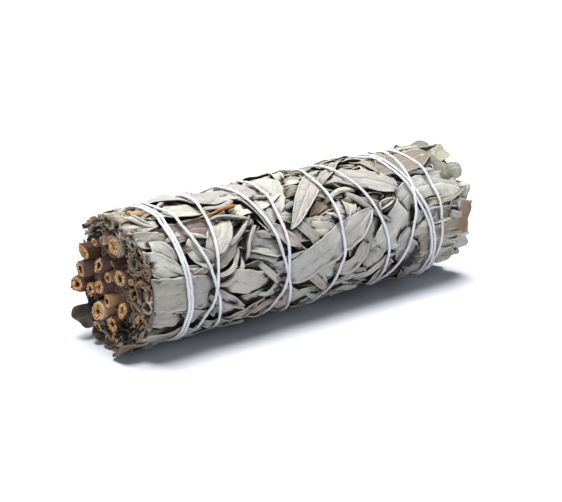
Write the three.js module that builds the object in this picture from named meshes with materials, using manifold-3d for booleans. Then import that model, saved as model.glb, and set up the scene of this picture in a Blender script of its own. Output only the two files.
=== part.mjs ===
// A dried white sage bundle: sprigs laid side by side and cut level at one end, with their leaves pressed
// round them and cotton string wound from the cut stems to the leaf tips and back.
// +X runs along the bundle from the cut stems to the tips, +Z is up, and the bundle lies on the plane z = 0.
// A place on the bundle is given by how far along it is, in millimetres from its middle, and by an angle
// round it in degrees, 0 at the top and growing towards -Y.
import * as THREE from "three";
import { mergeVertices } from "three/addons/utils/BufferGeometryUtils.js";
import Module from "manifold-3d";

const wasm = await Module();
wasm.setup();

// Driving dimensions, in millimetres.
const LENGTH = 120; // from the longest cut stem to the furthest leaf tip
const RADIUS = 19.5; // outside of the pressed leaves
const AXIS_HEIGHT = 19; // the leaves are pressed flat where they lie on the table
const LAYER = 1; // from one layer of leaves to the next
const BLADE = 0.7; // thickness of a leaf, larger than life
const STRING = 1.1; // diameter of the cotton string
const GAP = 0.3; // between pieces that touch

const CUT_END = -LENGTH / 2;
const TIP_END = LENGTH / 2;
const CUT_PLANE = CUT_END + 1.2; // where the outer leaves are cut
const CORE_START = CUT_END + 8; // the packed inner leaves, behind the cut ends
const CORE_SHOULDER = TIP_END - 16; // where they start to taper towards the tips
const CORE_END = TIP_END - 5;
const CORE_END_RADIUS = 8.5;
const CORE_RADIUS = 16.8;
const CORE_SIDES = 16;

const TURN = 2 * Math.PI;
const radians = THREE.MathUtils.degToRad;
const { lerp, clamp } = THREE.MathUtils;

// The same draw every time: each call gives a number between the two limits.
function seeded(seed) {
  let state = seed;
  return (low, high) => {
    state = (state * 1664525 + 1013904223) % 4294967296;
    return lerp(low, high, state / 4294967296);
  };
}

// A point of the bundle from its place along it, its angle in radians and its distance from the axis.
function onBundle(along, angle, radius) {
  return new THREE.Vector3(along, -radius * Math.sin(angle), AXIS_HEIGHT + radius * Math.cos(angle));
}

// ---- Solids ----

function solidOf(geometry) {
  const bare = geometry.index ? geometry.toNonIndexed() : geometry.clone();
  bare.deleteAttribute("normal");
  bare.deleteAttribute("uv");
  const merged = mergeVertices(bare, 1e-4);
  return new wasm.Manifold(
    new wasm.Mesh({
      numProp: 3,
      vertProperties: merged.attributes.position.array,
      triVerts: new Uint32Array(merged.index.array),
    }),
  );
}

function joined(solids) {
  return wasm.Manifold.union(solids);
}

// The largest body of a solid: the scraps that a cut has loosened are dropped.
function mainBody(solid) {
  return solid.decompose().reduce((most, body) => (body.volume() > most.volume() ? body : most));
}

function geometryOf(solid) {
  const mesh = solid.getMesh();
  return new THREE.BufferGeometry()
    .setAttribute("position", new THREE.BufferAttribute(mesh.vertProperties, 3))
    .setIndex(new THREE.BufferAttribute(mesh.triVerts, 1));
}

// A list of triangle corners as a closed solid with its faces pointing out.
function solidOfCorners(corners) {
  let volume = 0;
  for (let i = 0; i < corners.length; i += 3)
    volume += corners[i].dot(new THREE.Vector3().crossVectors(corners[i + 1], corners[i + 2]));
  const outwards = volume > 0 ? corners : corners.toReversed();
  return solidOf(new THREE.BufferGeometry().setFromPoints(outwards));
}

// A solid through rings of corners that follow each other, closed by a flat fan at both ends.
function tube(rings) {
  const sides = rings[0].length;
  const corners = [];
  for (let ring = 1; ring < rings.length; ring++)
    for (let side = 0; side < sides; side++) {
      const next = (side + 1) % sides;
      const [a, b] = [rings[ring - 1][side], rings[ring - 1][next]];
      const [c, d] = [rings[ring][side], rings[ring][next]];
      corners.push(a, b, d, a, d, c);
    }
  const [first, last] = [rings[0], rings[rings.length - 1]];
  for (let side = 2; side < sides; side++) {
    corners.push(first[0], first[side], first[side - 1]);
    corners.push(last[0], last[side - 1], last[side]);
  }
  return solidOfCorners(corners);
}

// ---- String ----

// One length of string wound in twelve turns: out to the tips in five and back in seven, first and last
// side by side round the stems. A row is a turn's place along the bundle at each of STOPS.
const STOPS = [0, 45, 90, 130].map(radians);
const TURNS = [
  [-48.5, -49.1, -47.6, -46.0],
  [-46.3, -43.0, -38.0, -34.0],
  [-18.5, -18.0, -14.0, -9.0],
  [16.0, 19.8, 25.5, 27.3],
  [34.0, 35.0, 42.3, 47.2],
  [45.5, 45.8, 46.5, 49.6],
  [35.3, 36.3, 43.5, 48.4],
  [43.0, 37.4, 36.0, 31.0],
  [7.0, 7.0, 9.0, 6.3],
  [-11.0, -12.8, -12.0, -13.5],
  [-33.0, -35.5, -36.6, -41.0],
  [-47.3, -47.9, -46.4, -44.8],
];
const KNOT_ANGLE = radians(228); // on the side away from where the turns cross
const STRING_RADIUS = RADIUS + 0.2; // from the bundle's axis to the middle of the string
const STRING_SIDES = 5;
const STRING_STEPS = 16; // straight pieces in a turn
const TABLE_CLEARANCE = 0.12;
const GROOVE = [
  [-2.6, 2.2],
  [-0.55, -0.87],
  [0.55, -0.87],
  [2.6, 2.2],
]; // the section that it presses into the leaves, about its own middle

const WINDING_START = -TURN + KNOT_ANGLE;
const WINDING_END = TURN * (TURNS.length - 1) + KNOT_ANGLE;

// Where the string is along the bundle, after this many radians of winding.
function stringAlong(winding) {
  const stops = TURNS.flatMap((row, turn) => row.map((along, i) => [TURN * turn + STOPS[i], along]));
  const next = clamp(stops.findIndex(([at]) => at > winding), -1, stops.length);
  if (next === 0) return stops[0][1];
  if (next === -1) return stops[stops.length - 1][1];
  const [[from, low], [to, high]] = [stops[next - 1], stops[next]];
  return lerp(low, high, (winding - from) / (to - from));
}

function stringPoint(winding) {
  const down = -Math.cos(winding);
  const lowest = (AXIS_HEIGHT - TABLE_CLEARANCE - STRING / 2) / Math.max(down, 0.5);
  return onBundle(stringAlong(winding), winding, Math.min(STRING_RADIUS, lowest));
}

// Sweeps a section, a list of [sideways, outwards] corners, along the string.
function alongString(section) {
  const steps = Math.round((STRING_STEPS * (WINDING_END - WINDING_START)) / TURN);
  const rings = Array.from({ length: steps + 1 }, (_, step) => {
    const winding = lerp(WINDING_START, WINDING_END, step / steps);
    const [at, before, after] = [0, -0.2, 0.2].map((ahead) => stringPoint(winding + ahead));
    const out = onBundle(0, winding, 1).sub(onBundle(0, winding, 0));
    const side = after.sub(before).cross(out).normalize();
    return section.map(([sideways, outwards]) =>
      at.clone().addScaledVector(side, sideways).addScaledVector(out, outwards),
    );
  });
  const turns = [];
  for (let first = 0; first < steps; first += STRING_STEPS)
    turns.push(tube(rings.slice(first, first + STRING_STEPS + 1)));
  return joined(turns);
}

function round(diameter, sides) {
  return Array.from({ length: sides }, (_, side) => {
    const around = (TURN * (side + 0.5)) / sides;
    return [(diameter / 2) * Math.sin(around), (diameter / 2) * Math.cos(around)];
  });
}

// The knot that ties the first turn to the last: a lump and two short ends that lie on the leaves.
const KNOT_RADIUS = 1.7;
const KNOT_ENDS = [
  [-5.4, 0.22],
  [5.4, -0.22],
]; // where each end reaches from the knot, along the bundle and in radians round it
function knot() {
  const along = (stringAlong(WINDING_START) + stringAlong(WINDING_END)) / 2;
  const out = STRING_RADIUS + STRING / 2;
  const lump = new THREE.IcosahedronGeometry(KNOT_RADIUS, 0).translate(...onBundle(along, KNOT_ANGLE, out));
  const ends = KNOT_ENDS.map(([reach, turn]) => {
    const way = Math.sign(reach);
    const rings = [0, 0.5, 1].map((share) => {
      const at = onBundle(along + share * reach, KNOT_ANGLE + share * turn, out);
      return round(STRING, STRING_SIDES).map(([a, b]) => at.clone().add(new THREE.Vector3(b * way, a, b)));
    });
    return tube(rings);
  });
  return joined([solidOf(lump), ...ends]);
}

// ---- Leaves ----

// The leaves that lie on top, on the side towards -Y: along, angle, the way the leaf points (0 towards the
// tips, growing towards -Y), length, width and layer, 2 outermost.
const CHOSEN_LEAVES = [
  [-25, 0, 6, 40, 12, 2],
  [-41, 10, -22, 26, 9, 1],
  [-34, 53, -20, 24, 7, 1],
  [-52, 55, 8, 20, 7, 1],
  [-48, 84, 14, 24, 12, 2],
  [-50, 110, 5, 22, 7, 0],
  [-31, 78, -38, 18, 6, 2],
  [-18, 80, 12, 26, 7, 1],
  [-22, 104, 12, 32, 7, 2],
  [-21, 118, 22, 20, 7, 0],
  [-14, 24, -58, 30, 11, 2],
  [-1, 42, -42, 24, 5.5, 2],
  [-4, 65, -4, 30, 7.5, 1],
  [4, 81, -22, 38, 9, 2],
  [3, 106, 35, 22, 9, 1],
  [16, 108, 62, 36, 7, 2],
  [11, 20, -62, 28, 10, 2],
  [25, 33, 26, 30, 7, 2],
  [30, 10, -60, 26, 8, 1],
  [46, 59, 2, 24, 8, 2],
  [47.5, 88, 4, 24, 10, 1],
  [43, 113, 74, 22, 6, 2],
  [43, 132, 46, 34, 11, 1],
  [32, 99, 24, 18, 7, 2],
  [28, 76, -30, 24, 9, 1],
  [23, 66, -75, 16, 7, 0],
  [24, 122, 62, 24, 8, 1],
  [-9, 128, 38, 30, 9, 1],
  [-36, 128, 30, 30, 10, 1],
  [49, 30, 0, 22, 8, 1],
  [-44, 180, 5, 30, 10, 2.4],
  [-18, 183, -6, 30, 10, 2.4],
  [6, 178, 6, 30, 10, 2.4],
  [32, 181, -5, 32, 10, 2.4],
];

// Leaves of another colour, each a piece of its own in the leaves under the string: the same measures, and
// the distance of its outer face from the axis.
const BROWN_LEAVES = [
  [43, 17, 0, 24, 9.5, 18.3],
  [51.6, 93, 4, 16, 10, 18.3],
  [-39, 39, 0, 22, 6.5, 18.2],
];
const BROWN_CROWN = 0.2; // height of its midrib
const RECESS_ABOVE = 3; // it is laid in a recess that is open this far above it

// The rest follow a rule: rows along the bundle, each row a ring of leaves, over these angles.
const ROWS = [-44, -27, -10, 7, 24, 39];
const REST_FROM = 142;
const REST_TO = 350;
const REST_IN_ROW = 4;
const UNDERLAY_IN_ROW = 3; // shorter leaves that fill in between the chosen ones
const LEAF_LENGTHS = [30, 40];
const UNDERLAY_LENGTHS = [18, 26];
const ROW_SHIFT = 5; // a leaf may lie this far along from its row
const TIP_CLEARANCE = 1.5; // they end this far short of the furthest leaf
const LEAF_WIDTHS = [10, 14];
const LEAF_TURN = 45; // the furthest a leaf points from the bundle's own direction

const STATIONS = [0.22, 0.52, 0.84]; // sections of a blade, as shares of its length
const ROOT = 2.2; // how far a leaf's stalk dips into the leaves below
const ROOT_SHARE = 0.2; // of its length
const CORE_BITE = 0.6; // how far the leaves on the core are sunk in it
const SKIN = 0.4; // what the crown of an outermost leaf takes of the bundle's radius
const LIFT_FROM = 0.6; // the share of a leaf's length where its tip starts to bend
const EDGE_WAVES = 1.5; // in the length of a leaf

// Half the width of a leaf, from its stalk at 0 to its tip at 1, as a share of the widest.
function leafShape(share) {
  return Math.sin(Math.PI * share ** 0.85) ** 0.7;
}

// A blade as a closed solid: outer and under give its two faces at u along and v across it, and end the
// points that it narrows to.
function blade(length, width, outer, under, end) {
  const rows = STATIONS.map((share) => {
    const [u, half] = [length * share, (width / 2) * leafShape(share)];
    return [outer(u, -half), outer(u, 0), outer(u, half), under(u, half), under(u, -half)];
  });
  const corners = [];
  const ends = [end(0, 0), end(length, 0)];
  rows.forEach((row, i) =>
    row.forEach((corner, side) => {
      const next = (side + 1) % row.length;
      if (i === 0) corners.push(ends[0], corner, row[next]);
      else corners.push(corner, row[next], rows[i - 1][next], corner, rows[i - 1][next], rows[i - 1][side]);
      if (i === rows.length - 1) corners.push(ends[1], row[next], corner);
    }),
  );
  return solidOfCorners(corners);
}

// A leaf pressed on the bundle, its middle at this place. Over the core its underside is sunk in the leaves
// below, unless it is loose; past the core's ends it stands free. above and below are the distances of its
// two faces from where they would be.
function pressedLeaf(leaf, { loose = false, above = 0, below = 0 } = {}) {
  const { along, angle, turn, length, width, radius, crown = 0, lift = 0, wave = 0, root = ROOT } = leaf;
  const face = (side) => (u, v) => {
    const [share, ahead] = [u / length, u - length / 2];
    const place = along + ahead * Math.cos(turn) - v * Math.sin(turn);
    const around = angle + (ahead * Math.sin(turn) + v * Math.cos(turn)) / radius;
    const ridge = v === 0 ? crown : wave * Math.sin(EDGE_WAVES * TURN * share + Math.sign(v));
    const sunk = root * Math.max(0, 1 - share / ROOT_SHARE);
    const raised = lift * Math.max(0, share - LIFT_FROM);
    const top = radius + ridge + raised - sunk;
    const onCore = !loose && place > CORE_START + 2 && place < CORE_SHOULDER && radius > CORE_RADIUS;
    const bottom = onCore ? Math.min(top - BLADE, CORE_RADIUS - CORE_BITE) : top - BLADE - below;
    return onBundle(place, around, { outer: top + above, under: bottom, end: top - BLADE / 2 }[side]);
  };
  return blade(length, width, face("outer"), face("under"), face("end"));
}

function layerRadius(layer) {
  return RADIUS - SKIN - LAYER * (2 - layer);
}

function chosenLeaves() {
  const draw = seeded(5);
  return CHOSEN_LEAVES.map(([along, angle, turn, length, width, layer]) =>
    pressedLeaf({
      along,
      angle: radians(angle),
      turn: radians(turn),
      length,
      width,
      radius: layerRadius(layer),
      crown: draw(0.1, 0.45),
      wave: draw(0.05, 0.2),
    }),
  );
}

function brownLeaves() {
  return BROWN_LEAVES.map(([along, angle, turn, length, width, radius]) => {
    const place = { along, angle: radians(angle), turn: radians(turn) };
    const leaf = { ...place, length, width, radius, crown: BROWN_CROWN, root: 0 };
    const roomier = { ...leaf, length: length + 4 * GAP, width: width + 2 * GAP };
    return {
      solid: pressedLeaf(leaf, { loose: true }),
      room: pressedLeaf(roomier, { loose: true, above: RECESS_ABOVE, below: GAP }),
    };
  });
}

function restOfLeaves() {
  const draw = seeded(11);
  const leaves = [];
  ROWS.forEach((rowAlong, row) => {
    const ring = (count, from, to, layers, lengths) => {
      for (let place = 0; place < count; place++) {
        const length = draw(...lengths);
        leaves.push(
          pressedLeaf({
            along: Math.min(rowAlong + draw(-ROW_SHIFT, ROW_SHIFT), TIP_END - TIP_CLEARANCE - length / 2),
            angle: radians(lerp(from, to, (place + 0.5 * (row % 2) + draw(0, 0.5)) / count)),
            turn: radians(draw(-LEAF_TURN, LEAF_TURN)),
            length,
            width: draw(...LEAF_WIDTHS),
            radius: layerRadius(layers[(row + place) % layers.length]),
            crown: draw(0.1, 0.45),
            wave: draw(0.05, 0.2),
          }),
        );
      }
    };
    ring(REST_IN_ROW, REST_FROM, REST_TO, [2, 0, 1], LEAF_LENGTHS);
    ring(UNDERLAY_IN_ROW, REST_TO - 360, REST_FROM, [0, 0.4], UNDERLAY_LENGTHS);
  });
  return leaves;
}

// Leaf tips that reach past the core, in shells round the axis: radius, how many, and how far they reach.
const TIP_SHELLS = [
  [17.4, 9, -1],
  [13.5, 7, -1.5],
  [9.0, 5, -1],
];
const TIP_LENGTHS = [20, 26];

function tipLeaves() {
  const draw = seeded(23);
  return TIP_SHELLS.flatMap(([radius, count, reach]) =>
    Array.from({ length: count }, (_, place) => {
      const length = draw(...TIP_LENGTHS);
      return pressedLeaf({
        along: TIP_END + reach - draw(0, 4) - length / 2,
        angle: (TURN * (place + draw(0.1, 0.6))) / count,
        turn: radians(draw(-18, 18)),
        length,
        width: Math.min(radius * 1.6, draw(7, 10)),
        radius,
        crown: draw(0.3, 0.8),
        wave: draw(0.2, 0.5),
        lift: draw(-10, 0),
        root: 0,
      });
    }),
  );
}

// Cut leaves between the stems: bands that stand out of the core, each bent round a centre of its own.
const BANDS = 18;
const BAND_POINTS = 4;
const BAND_LENGTHS = [10, 18];
const BAND_STANDS = [4.5, 7.5]; // out of the core
const BAND_ROOT = 1.5; // depth in the core
const BAND_RIM = [13.5, 17.6]; // from the axis, for the bands that follow the rim
const BAND_INSIDE = [2, 12]; // and for those among the stems, one in three
const BAND_INSIDE_BEND = [3, 6]; // the radius that these are bent to
const BAND_WAVE = 0.5;
const GOLDEN = 0.618; // spreads a series evenly, in shares of its range

function cutBands() {
  const draw = seeded(31);
  const toBundle = new THREE.Matrix4().makeBasis(
    new THREE.Vector3(0, -1, 0),
    new THREE.Vector3(0, 0, 1),
    new THREE.Vector3(-1, 0, 0),
  );
  return Array.from({ length: BANDS }, (_, number) => {
    const inside = number % 3 === 0;
    const distance = draw(...(inside ? BAND_INSIDE : BAND_RIM));
    const middle = TURN * (number * GOLDEN + draw(0, 0.1));
    const bend = inside ? draw(...BAND_INSIDE_BEND) : distance;
    const span = draw(...BAND_LENGTHS) / bend;
    const centre = new THREE.Vector2(Math.sin(middle), Math.cos(middle)).multiplyScalar(distance - bend);
    const line = Array.from({ length: BAND_POINTS }, (_, i) => ({
      around: middle + span * (i / (BAND_POINTS - 1) - 0.5),
      out: bend + draw(-BAND_WAVE, BAND_WAVE),
    }));
    const edge = (side) =>
      line.map(({ around, out }) => {
        const to = new THREE.Vector2(Math.sin(around), Math.cos(around));
        return to.multiplyScalar(out + (side * BLADE) / 2).add(centre);
      });
    const outline = new THREE.Shape([...edge(1), ...edge(-1).reverse()]);
    const depth = draw(...BAND_STANDS) + BAND_ROOT;
    const band = new THREE.ExtrudeGeometry(outline, { depth, bevelEnabled: false });
    band.applyMatrix4(toBundle).translate(CORE_START + BAND_ROOT, 0, AXIS_HEIGHT);
    return solidOf(band);
  });
}

function core() {
  const profile = [
    [CORE_START, CORE_RADIUS - 1.2],
    [CORE_START + 4, CORE_RADIUS],
    [CORE_SHOULDER, CORE_RADIUS],
    [CORE_END, CORE_END_RADIUS],
  ];
  return tube(
    profile.map(([along, radius]) =>
      Array.from({ length: CORE_SIDES }, (_, side) => onBundle(along, (TURN * side) / CORE_SIDES, radius)),
    ),
  );
}

// ---- Stems ----

// Each stem at the cut end: its offsets from the axis towards +Y and +Z, its diameter, and how far its cut
// stands back from the longest one's.
const STEMS = [
  [-1.6, 10.4, 5.0, 0.8],
  [6.0, 3.1, 4.0, 0.9],
  [13.2, 0.3, 4.5, 0],
  [15.3, -4.3, 4.2, 0.2],
  [10.3, -4.5, 3.3, 0.9],
  [5.8, -2.9, 3.9, 0.8],
  [2.9, 0.2, 2.7, 1.6],
  [-3.2, 1.6, 4.8, 1.4],
  [2.6, -6.2, 3.6, 1.0],
  [6.1, -9.7, 4.8, 0.4],
  [-4.2, -7.1, 4.7, 1.2],
  [-16.3, -3.2, 2.8, 2.6],
  [-9.6, -4.6, 2.4, 2.2],
  [-11.1, -7.9, 3.4, 1.8],
  [0, -11.9, 4.5, 0.7],
  [1.8, -15.7, 2.8, 1.4],
  [-8.2, -14.1, 2.8, 2.2],
  [-13.4, 0, 2.2, 2.4],
  [7.5, -14.2, 2.5, 1.0],
  [11.9, 5.4, 4.6, 0.4],
  [4.7, 10.2, 2.2, 1.4],
  [7.5, 9.1, 2.5, 0.9],
  [-2.6, 16.3, 2.2, 4.5],
  [-9.6, 12.3, 2.0, 6.5],
  [-10.3, 7.5, 2.4, 2.2],
  [0.3, 4.8, 1.8, 1.6],
];
const STEM_LENGTHS = [62, 96];
const STEM_TAPER = 0.6; // diameter inside the bundle, as a share of the diameter at the cut
const STEM_SIDES = 6;
const PITH_SHARE = 0.42; // of a stem's diameter
const PITH_SIDES = 5;
const PITH_DEPTH = 2;

function rod(from, to, [aside, up], diameter, taper, sides) {
  const ends = [
    [from, diameter],
    [to, diameter * taper],
  ];
  return tube(
    ends.map(([along, across]) =>
      round(across, sides).map(([a, b]) => new THREE.Vector3(along, aside + a, AXIS_HEIGHT + up + b)),
    ),
  );
}

function stem([aside, up, diameter, setBack], number) {
  const from = CUT_END + setBack;
  const to = from + lerp(...STEM_LENGTHS, (number * GOLDEN) % 1);
  const at = [aside, up];
  const pith = rod(from - 1, from + PITH_DEPTH, at, diameter * PITH_SHARE, 1, PITH_SIDES);
  const room = diameter + (2 * GAP) / Math.cos(Math.PI / STEM_SIDES);
  const roomTaper = (room - diameter * (1 - STEM_TAPER)) / room;
  return {
    solid: rod(from, to, at, diameter, STEM_TAPER, STEM_SIDES).subtract(pith),
    room: rod(CUT_END - 1, to + GAP, at, room, roomTaper, STEM_SIDES),
  };
}

// ---- The bundle ----

function box(from, to) {
  const size = to.clone().sub(from);
  const middle = from.clone().add(to).multiplyScalar(0.5);
  return solidOf(new THREE.BoxGeometry(...size).translate(...middle));
}

const bundle = new THREE.Group();

function addPiece(name, solid, colour, roughness) {
  const material = new THREE.MeshStandardMaterial({ color: colour, roughness, metalness: 0 });
  const mesh = new THREE.Mesh(geometryOf(solid), material);
  mesh.name = name;
  bundle.add(mesh);
}

// A broken twig that lies in a gap between the leaves.
const TWIG = { along: -28, length: 7.5, angle: radians(28.5), radius: 18.4, diameter: 1.8 };
function twig(extra) {
  const { along, length, angle, radius, diameter } = TWIG;
  const { y, z } = onBundle(along, angle, radius);
  const half = length / 2 + extra;
  return rod(along - half, along + half, [y, z - AXIS_HEIGHT], diameter + 2 * extra, 1, STEM_SIDES);
}

const stems = STEMS.map(stem);
stems.forEach(({ solid }, i) => addPiece(`stem_${String(i + 1).padStart(2, "0")}`, solid, "#8a6a45", 0.85));

const string = joined([alongString(round(STRING, STRING_SIDES)), knot()]);
addPiece("cotton_string", string, "#eceaf0", 0.9);

const brown = brownLeaves();
brown.forEach(({ solid }, i) => addPiece(`brown_leaf_${i + 1}`, solid, "#a8927f", 0.9));
addPiece("twig", twig(0), "#a5673a", 0.8);

const corner = (along, aside, up) => new THREE.Vector3(along, aside, up);
const reach = 2 * LENGTH;
const pastTheCut = box(corner(-reach, -reach, -reach), corner(CUT_PLANE, reach, reach));
const belowTheTable = box(corner(-reach, -reach, -reach), corner(reach, reach, 0));
const rooms = [...stems, ...brown].map(({ room }) => room);
const leaves = joined([core(), ...chosenLeaves(), ...restOfLeaves(), ...tipLeaves(), ...cutBands()])
  .subtract(joined([pastTheCut, belowTheTable]))
  .subtract(joined([...rooms, twig(GAP)]))
  .subtract(alongString(GROOVE));
addPiece("sage_leaves", mainBody(leaves), "#a9ab9c", 0.9);

export default bundle;
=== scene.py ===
import functools
import itertools
import math

import bpy
import mathutils
import numpy as np
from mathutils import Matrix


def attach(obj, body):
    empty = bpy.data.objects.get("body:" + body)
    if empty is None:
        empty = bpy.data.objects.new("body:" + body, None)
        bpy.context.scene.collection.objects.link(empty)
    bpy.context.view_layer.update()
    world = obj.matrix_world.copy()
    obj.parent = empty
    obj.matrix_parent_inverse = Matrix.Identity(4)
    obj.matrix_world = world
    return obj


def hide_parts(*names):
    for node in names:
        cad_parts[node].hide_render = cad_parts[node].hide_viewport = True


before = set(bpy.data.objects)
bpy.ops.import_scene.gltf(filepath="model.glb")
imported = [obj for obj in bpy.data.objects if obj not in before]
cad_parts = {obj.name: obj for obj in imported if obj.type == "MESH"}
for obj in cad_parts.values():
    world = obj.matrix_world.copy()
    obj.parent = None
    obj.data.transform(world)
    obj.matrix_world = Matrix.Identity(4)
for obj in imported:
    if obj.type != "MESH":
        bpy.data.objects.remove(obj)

bl_info = {
    "name": "Sage bunch",
    "version": (1, 0, 0),
    "blender": (4, 5, 0),
    "location": "3D View > Sidebar > Sage",
    "description": "Builds a dried sage bundle: pressed leaves, cut stems, leaf tips and cotton string",
    "category": "Object",
}

# A place on the bundle is given by how far along it is, in millimetres from its middle, and by an angle
# round it in degrees, 0 at the top and growing towards -Y. Lengths are in millimetres up to make_piece.

# ---- The bundle, as in the frame ----

MM = 0.001
LENGTH = 120.0
CUT_END, TIP_END = -LENGTH / 2, LENGTH / 2
CUT_PLANE = CUT_END + 1.2  # where most of the leaves are cut off
AXIS_HEIGHT = 19.0
RADIUS = 19.5
STRING = 1.1  # thickness of the string
STRING_RADIUS = RADIUS + 0.2  # from the axis to the string's middle line
TABLE_CLEARANCE = 0.12
LOWEST = 0.03  # the height over the table that no leaf goes below
FULL_TURN = 2 * math.pi

# Where each turn of the string lies along the bundle, at these angles round it.
STOPS = np.radians([0, 45, 90, 130])
TURNS = [
    [-48.5, -49.1, -47.6, -46.0],
    [-46.3, -43.0, -38.0, -34.0],
    [-18.5, -18.0, -14.0, -9.0],
    [16.0, 19.8, 25.5, 27.3],
    [34.0, 35.0, 42.3, 47.2],
    [45.5, 45.8, 46.5, 49.6],
    [35.3, 36.3, 43.5, 48.4],
    [43.0, 37.4, 36.0, 31.0],
    [7.0, 7.0, 9.0, 6.3],
    [-11.0, -12.8, -12.0, -13.5],
    [-33.0, -35.5, -36.6, -41.0],
    [-47.65, -48.25, -46.75, -45.15],
]
KNOT_ANGLE = math.radians(228)
WINDING_START = -FULL_TURN + KNOT_ANGLE
WINDING_END = FULL_TURN * (len(TURNS) - 1) + KNOT_ANGLE

# Each stem at the cut end: offsets from the axis towards +Y and +Z, diameter, and how far it stands back.
STEMS = [
    [-1.6, 10.4, 5.0, 0.8],
    [6.0, 3.1, 4.0, 0.9],
    [13.2, 0.3, 4.5, 0],
    [15.3, -4.3, 4.2, 0.2],
    [10.3, -4.5, 3.3, 0.9],
    [5.8, -2.9, 3.9, 0.8],
    [2.9, 0.2, 2.7, 1.6],
    [-3.2, 1.6, 4.8, 1.4],
    [2.6, -6.2, 3.6, 1.0],
    [6.1, -9.7, 4.8, 0.4],
    [-4.2, -7.1, 4.7, 1.2],
    [-16.3, -3.2, 2.8, 2.6],
    [-9.6, -4.6, 2.4, 2.2],
    [-11.1, -7.9, 3.4, 1.8],
    [0, -11.9, 4.5, 0.7],
    [1.8, -15.7, 2.8, 1.4],
    [-8.2, -14.1, 2.8, 2.2],
    [-13.4, 0, 2.2, 2.4],
    [7.5, -14.2, 2.5, 1.0],
    [11.9, 5.4, 4.6, 0.4],
    [4.7, 10.2, 2.2, 1.4],
    [7.5, 9.1, 2.5, 0.9],
    [-2.6, 16.3, 2.2, 4.5],
    [-9.6, 12.3, 2.0, 6.5],
    [-10.3, 7.5, 2.4, 2.2],
    [0.3, 4.8, 1.8, 1.6],
]
STEM_LENGTHS = [62.0, 96.0]
STEM_TAPER = 0.6  # thickness at the far end, as a share of that at the cut
GOLDEN = 0.618  # spreads lengths and places evenly

# ---- Leaves ----

LEAF_THICKNESS = 0.36
THINNEST = 0.18  # half the width of a leaf at its point
TUCKED = 0.12  # the share of a leaf's length that is hidden under its neighbours

# How a leaf is bent across: curl in radians from midrib to edge (above 0 the edges stand up), whether it is
# folded in half along the midrib, how far its rims are rolled up, and how far it follows what it lies on.
FORMS = {
    "flat": {"curl": -0.12, "rim": 0.40, "flex": 0.28},
    "cup": {"curl": 0.6, "rim": 0.2, "flex": 0.2},
    "arch": {"curl": -0.9, "rim": 0.0, "flex": 0.15},
    "roll": {"curl": 1.9, "rim": 0.0, "flex": 0.1},
    "fold": {"curl": 0.0, "rim": 0.1, "flex": 0.12, "fold": True},
}

TINTS = {
    "pale": (0.456, 0.452, 0.399),
    "grey": (0.395, 0.383, 0.348),
    "blue": (0.421, 0.417, 0.389),
    "pink": (0.382, 0.323, 0.292),
    "olive": (0.298, 0.277, 0.221),
    "sage": (0.265, 0.268, 0.222),
    "rose": (0.222, 0.188, 0.170),
    "moss": (0.195, 0.188, 0.150),
    "brown": (0.235, 0.165, 0.115),
    "dark": (0.130, 0.105, 0.082),
    "bark": (0.110, 0.070, 0.045),
    "rust": (0.26, 0.165, 0.105),
    "burnt": (0.13, 0.085, 0.055),
    "stalk": (0.30, 0.19, 0.10),
    "bare": (0.40, 0.30, 0.20),
    # painted shade for the stems' bark deep in the bundle
    "bark_shade": (0.02, 0.013, 0.01),
}

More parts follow.
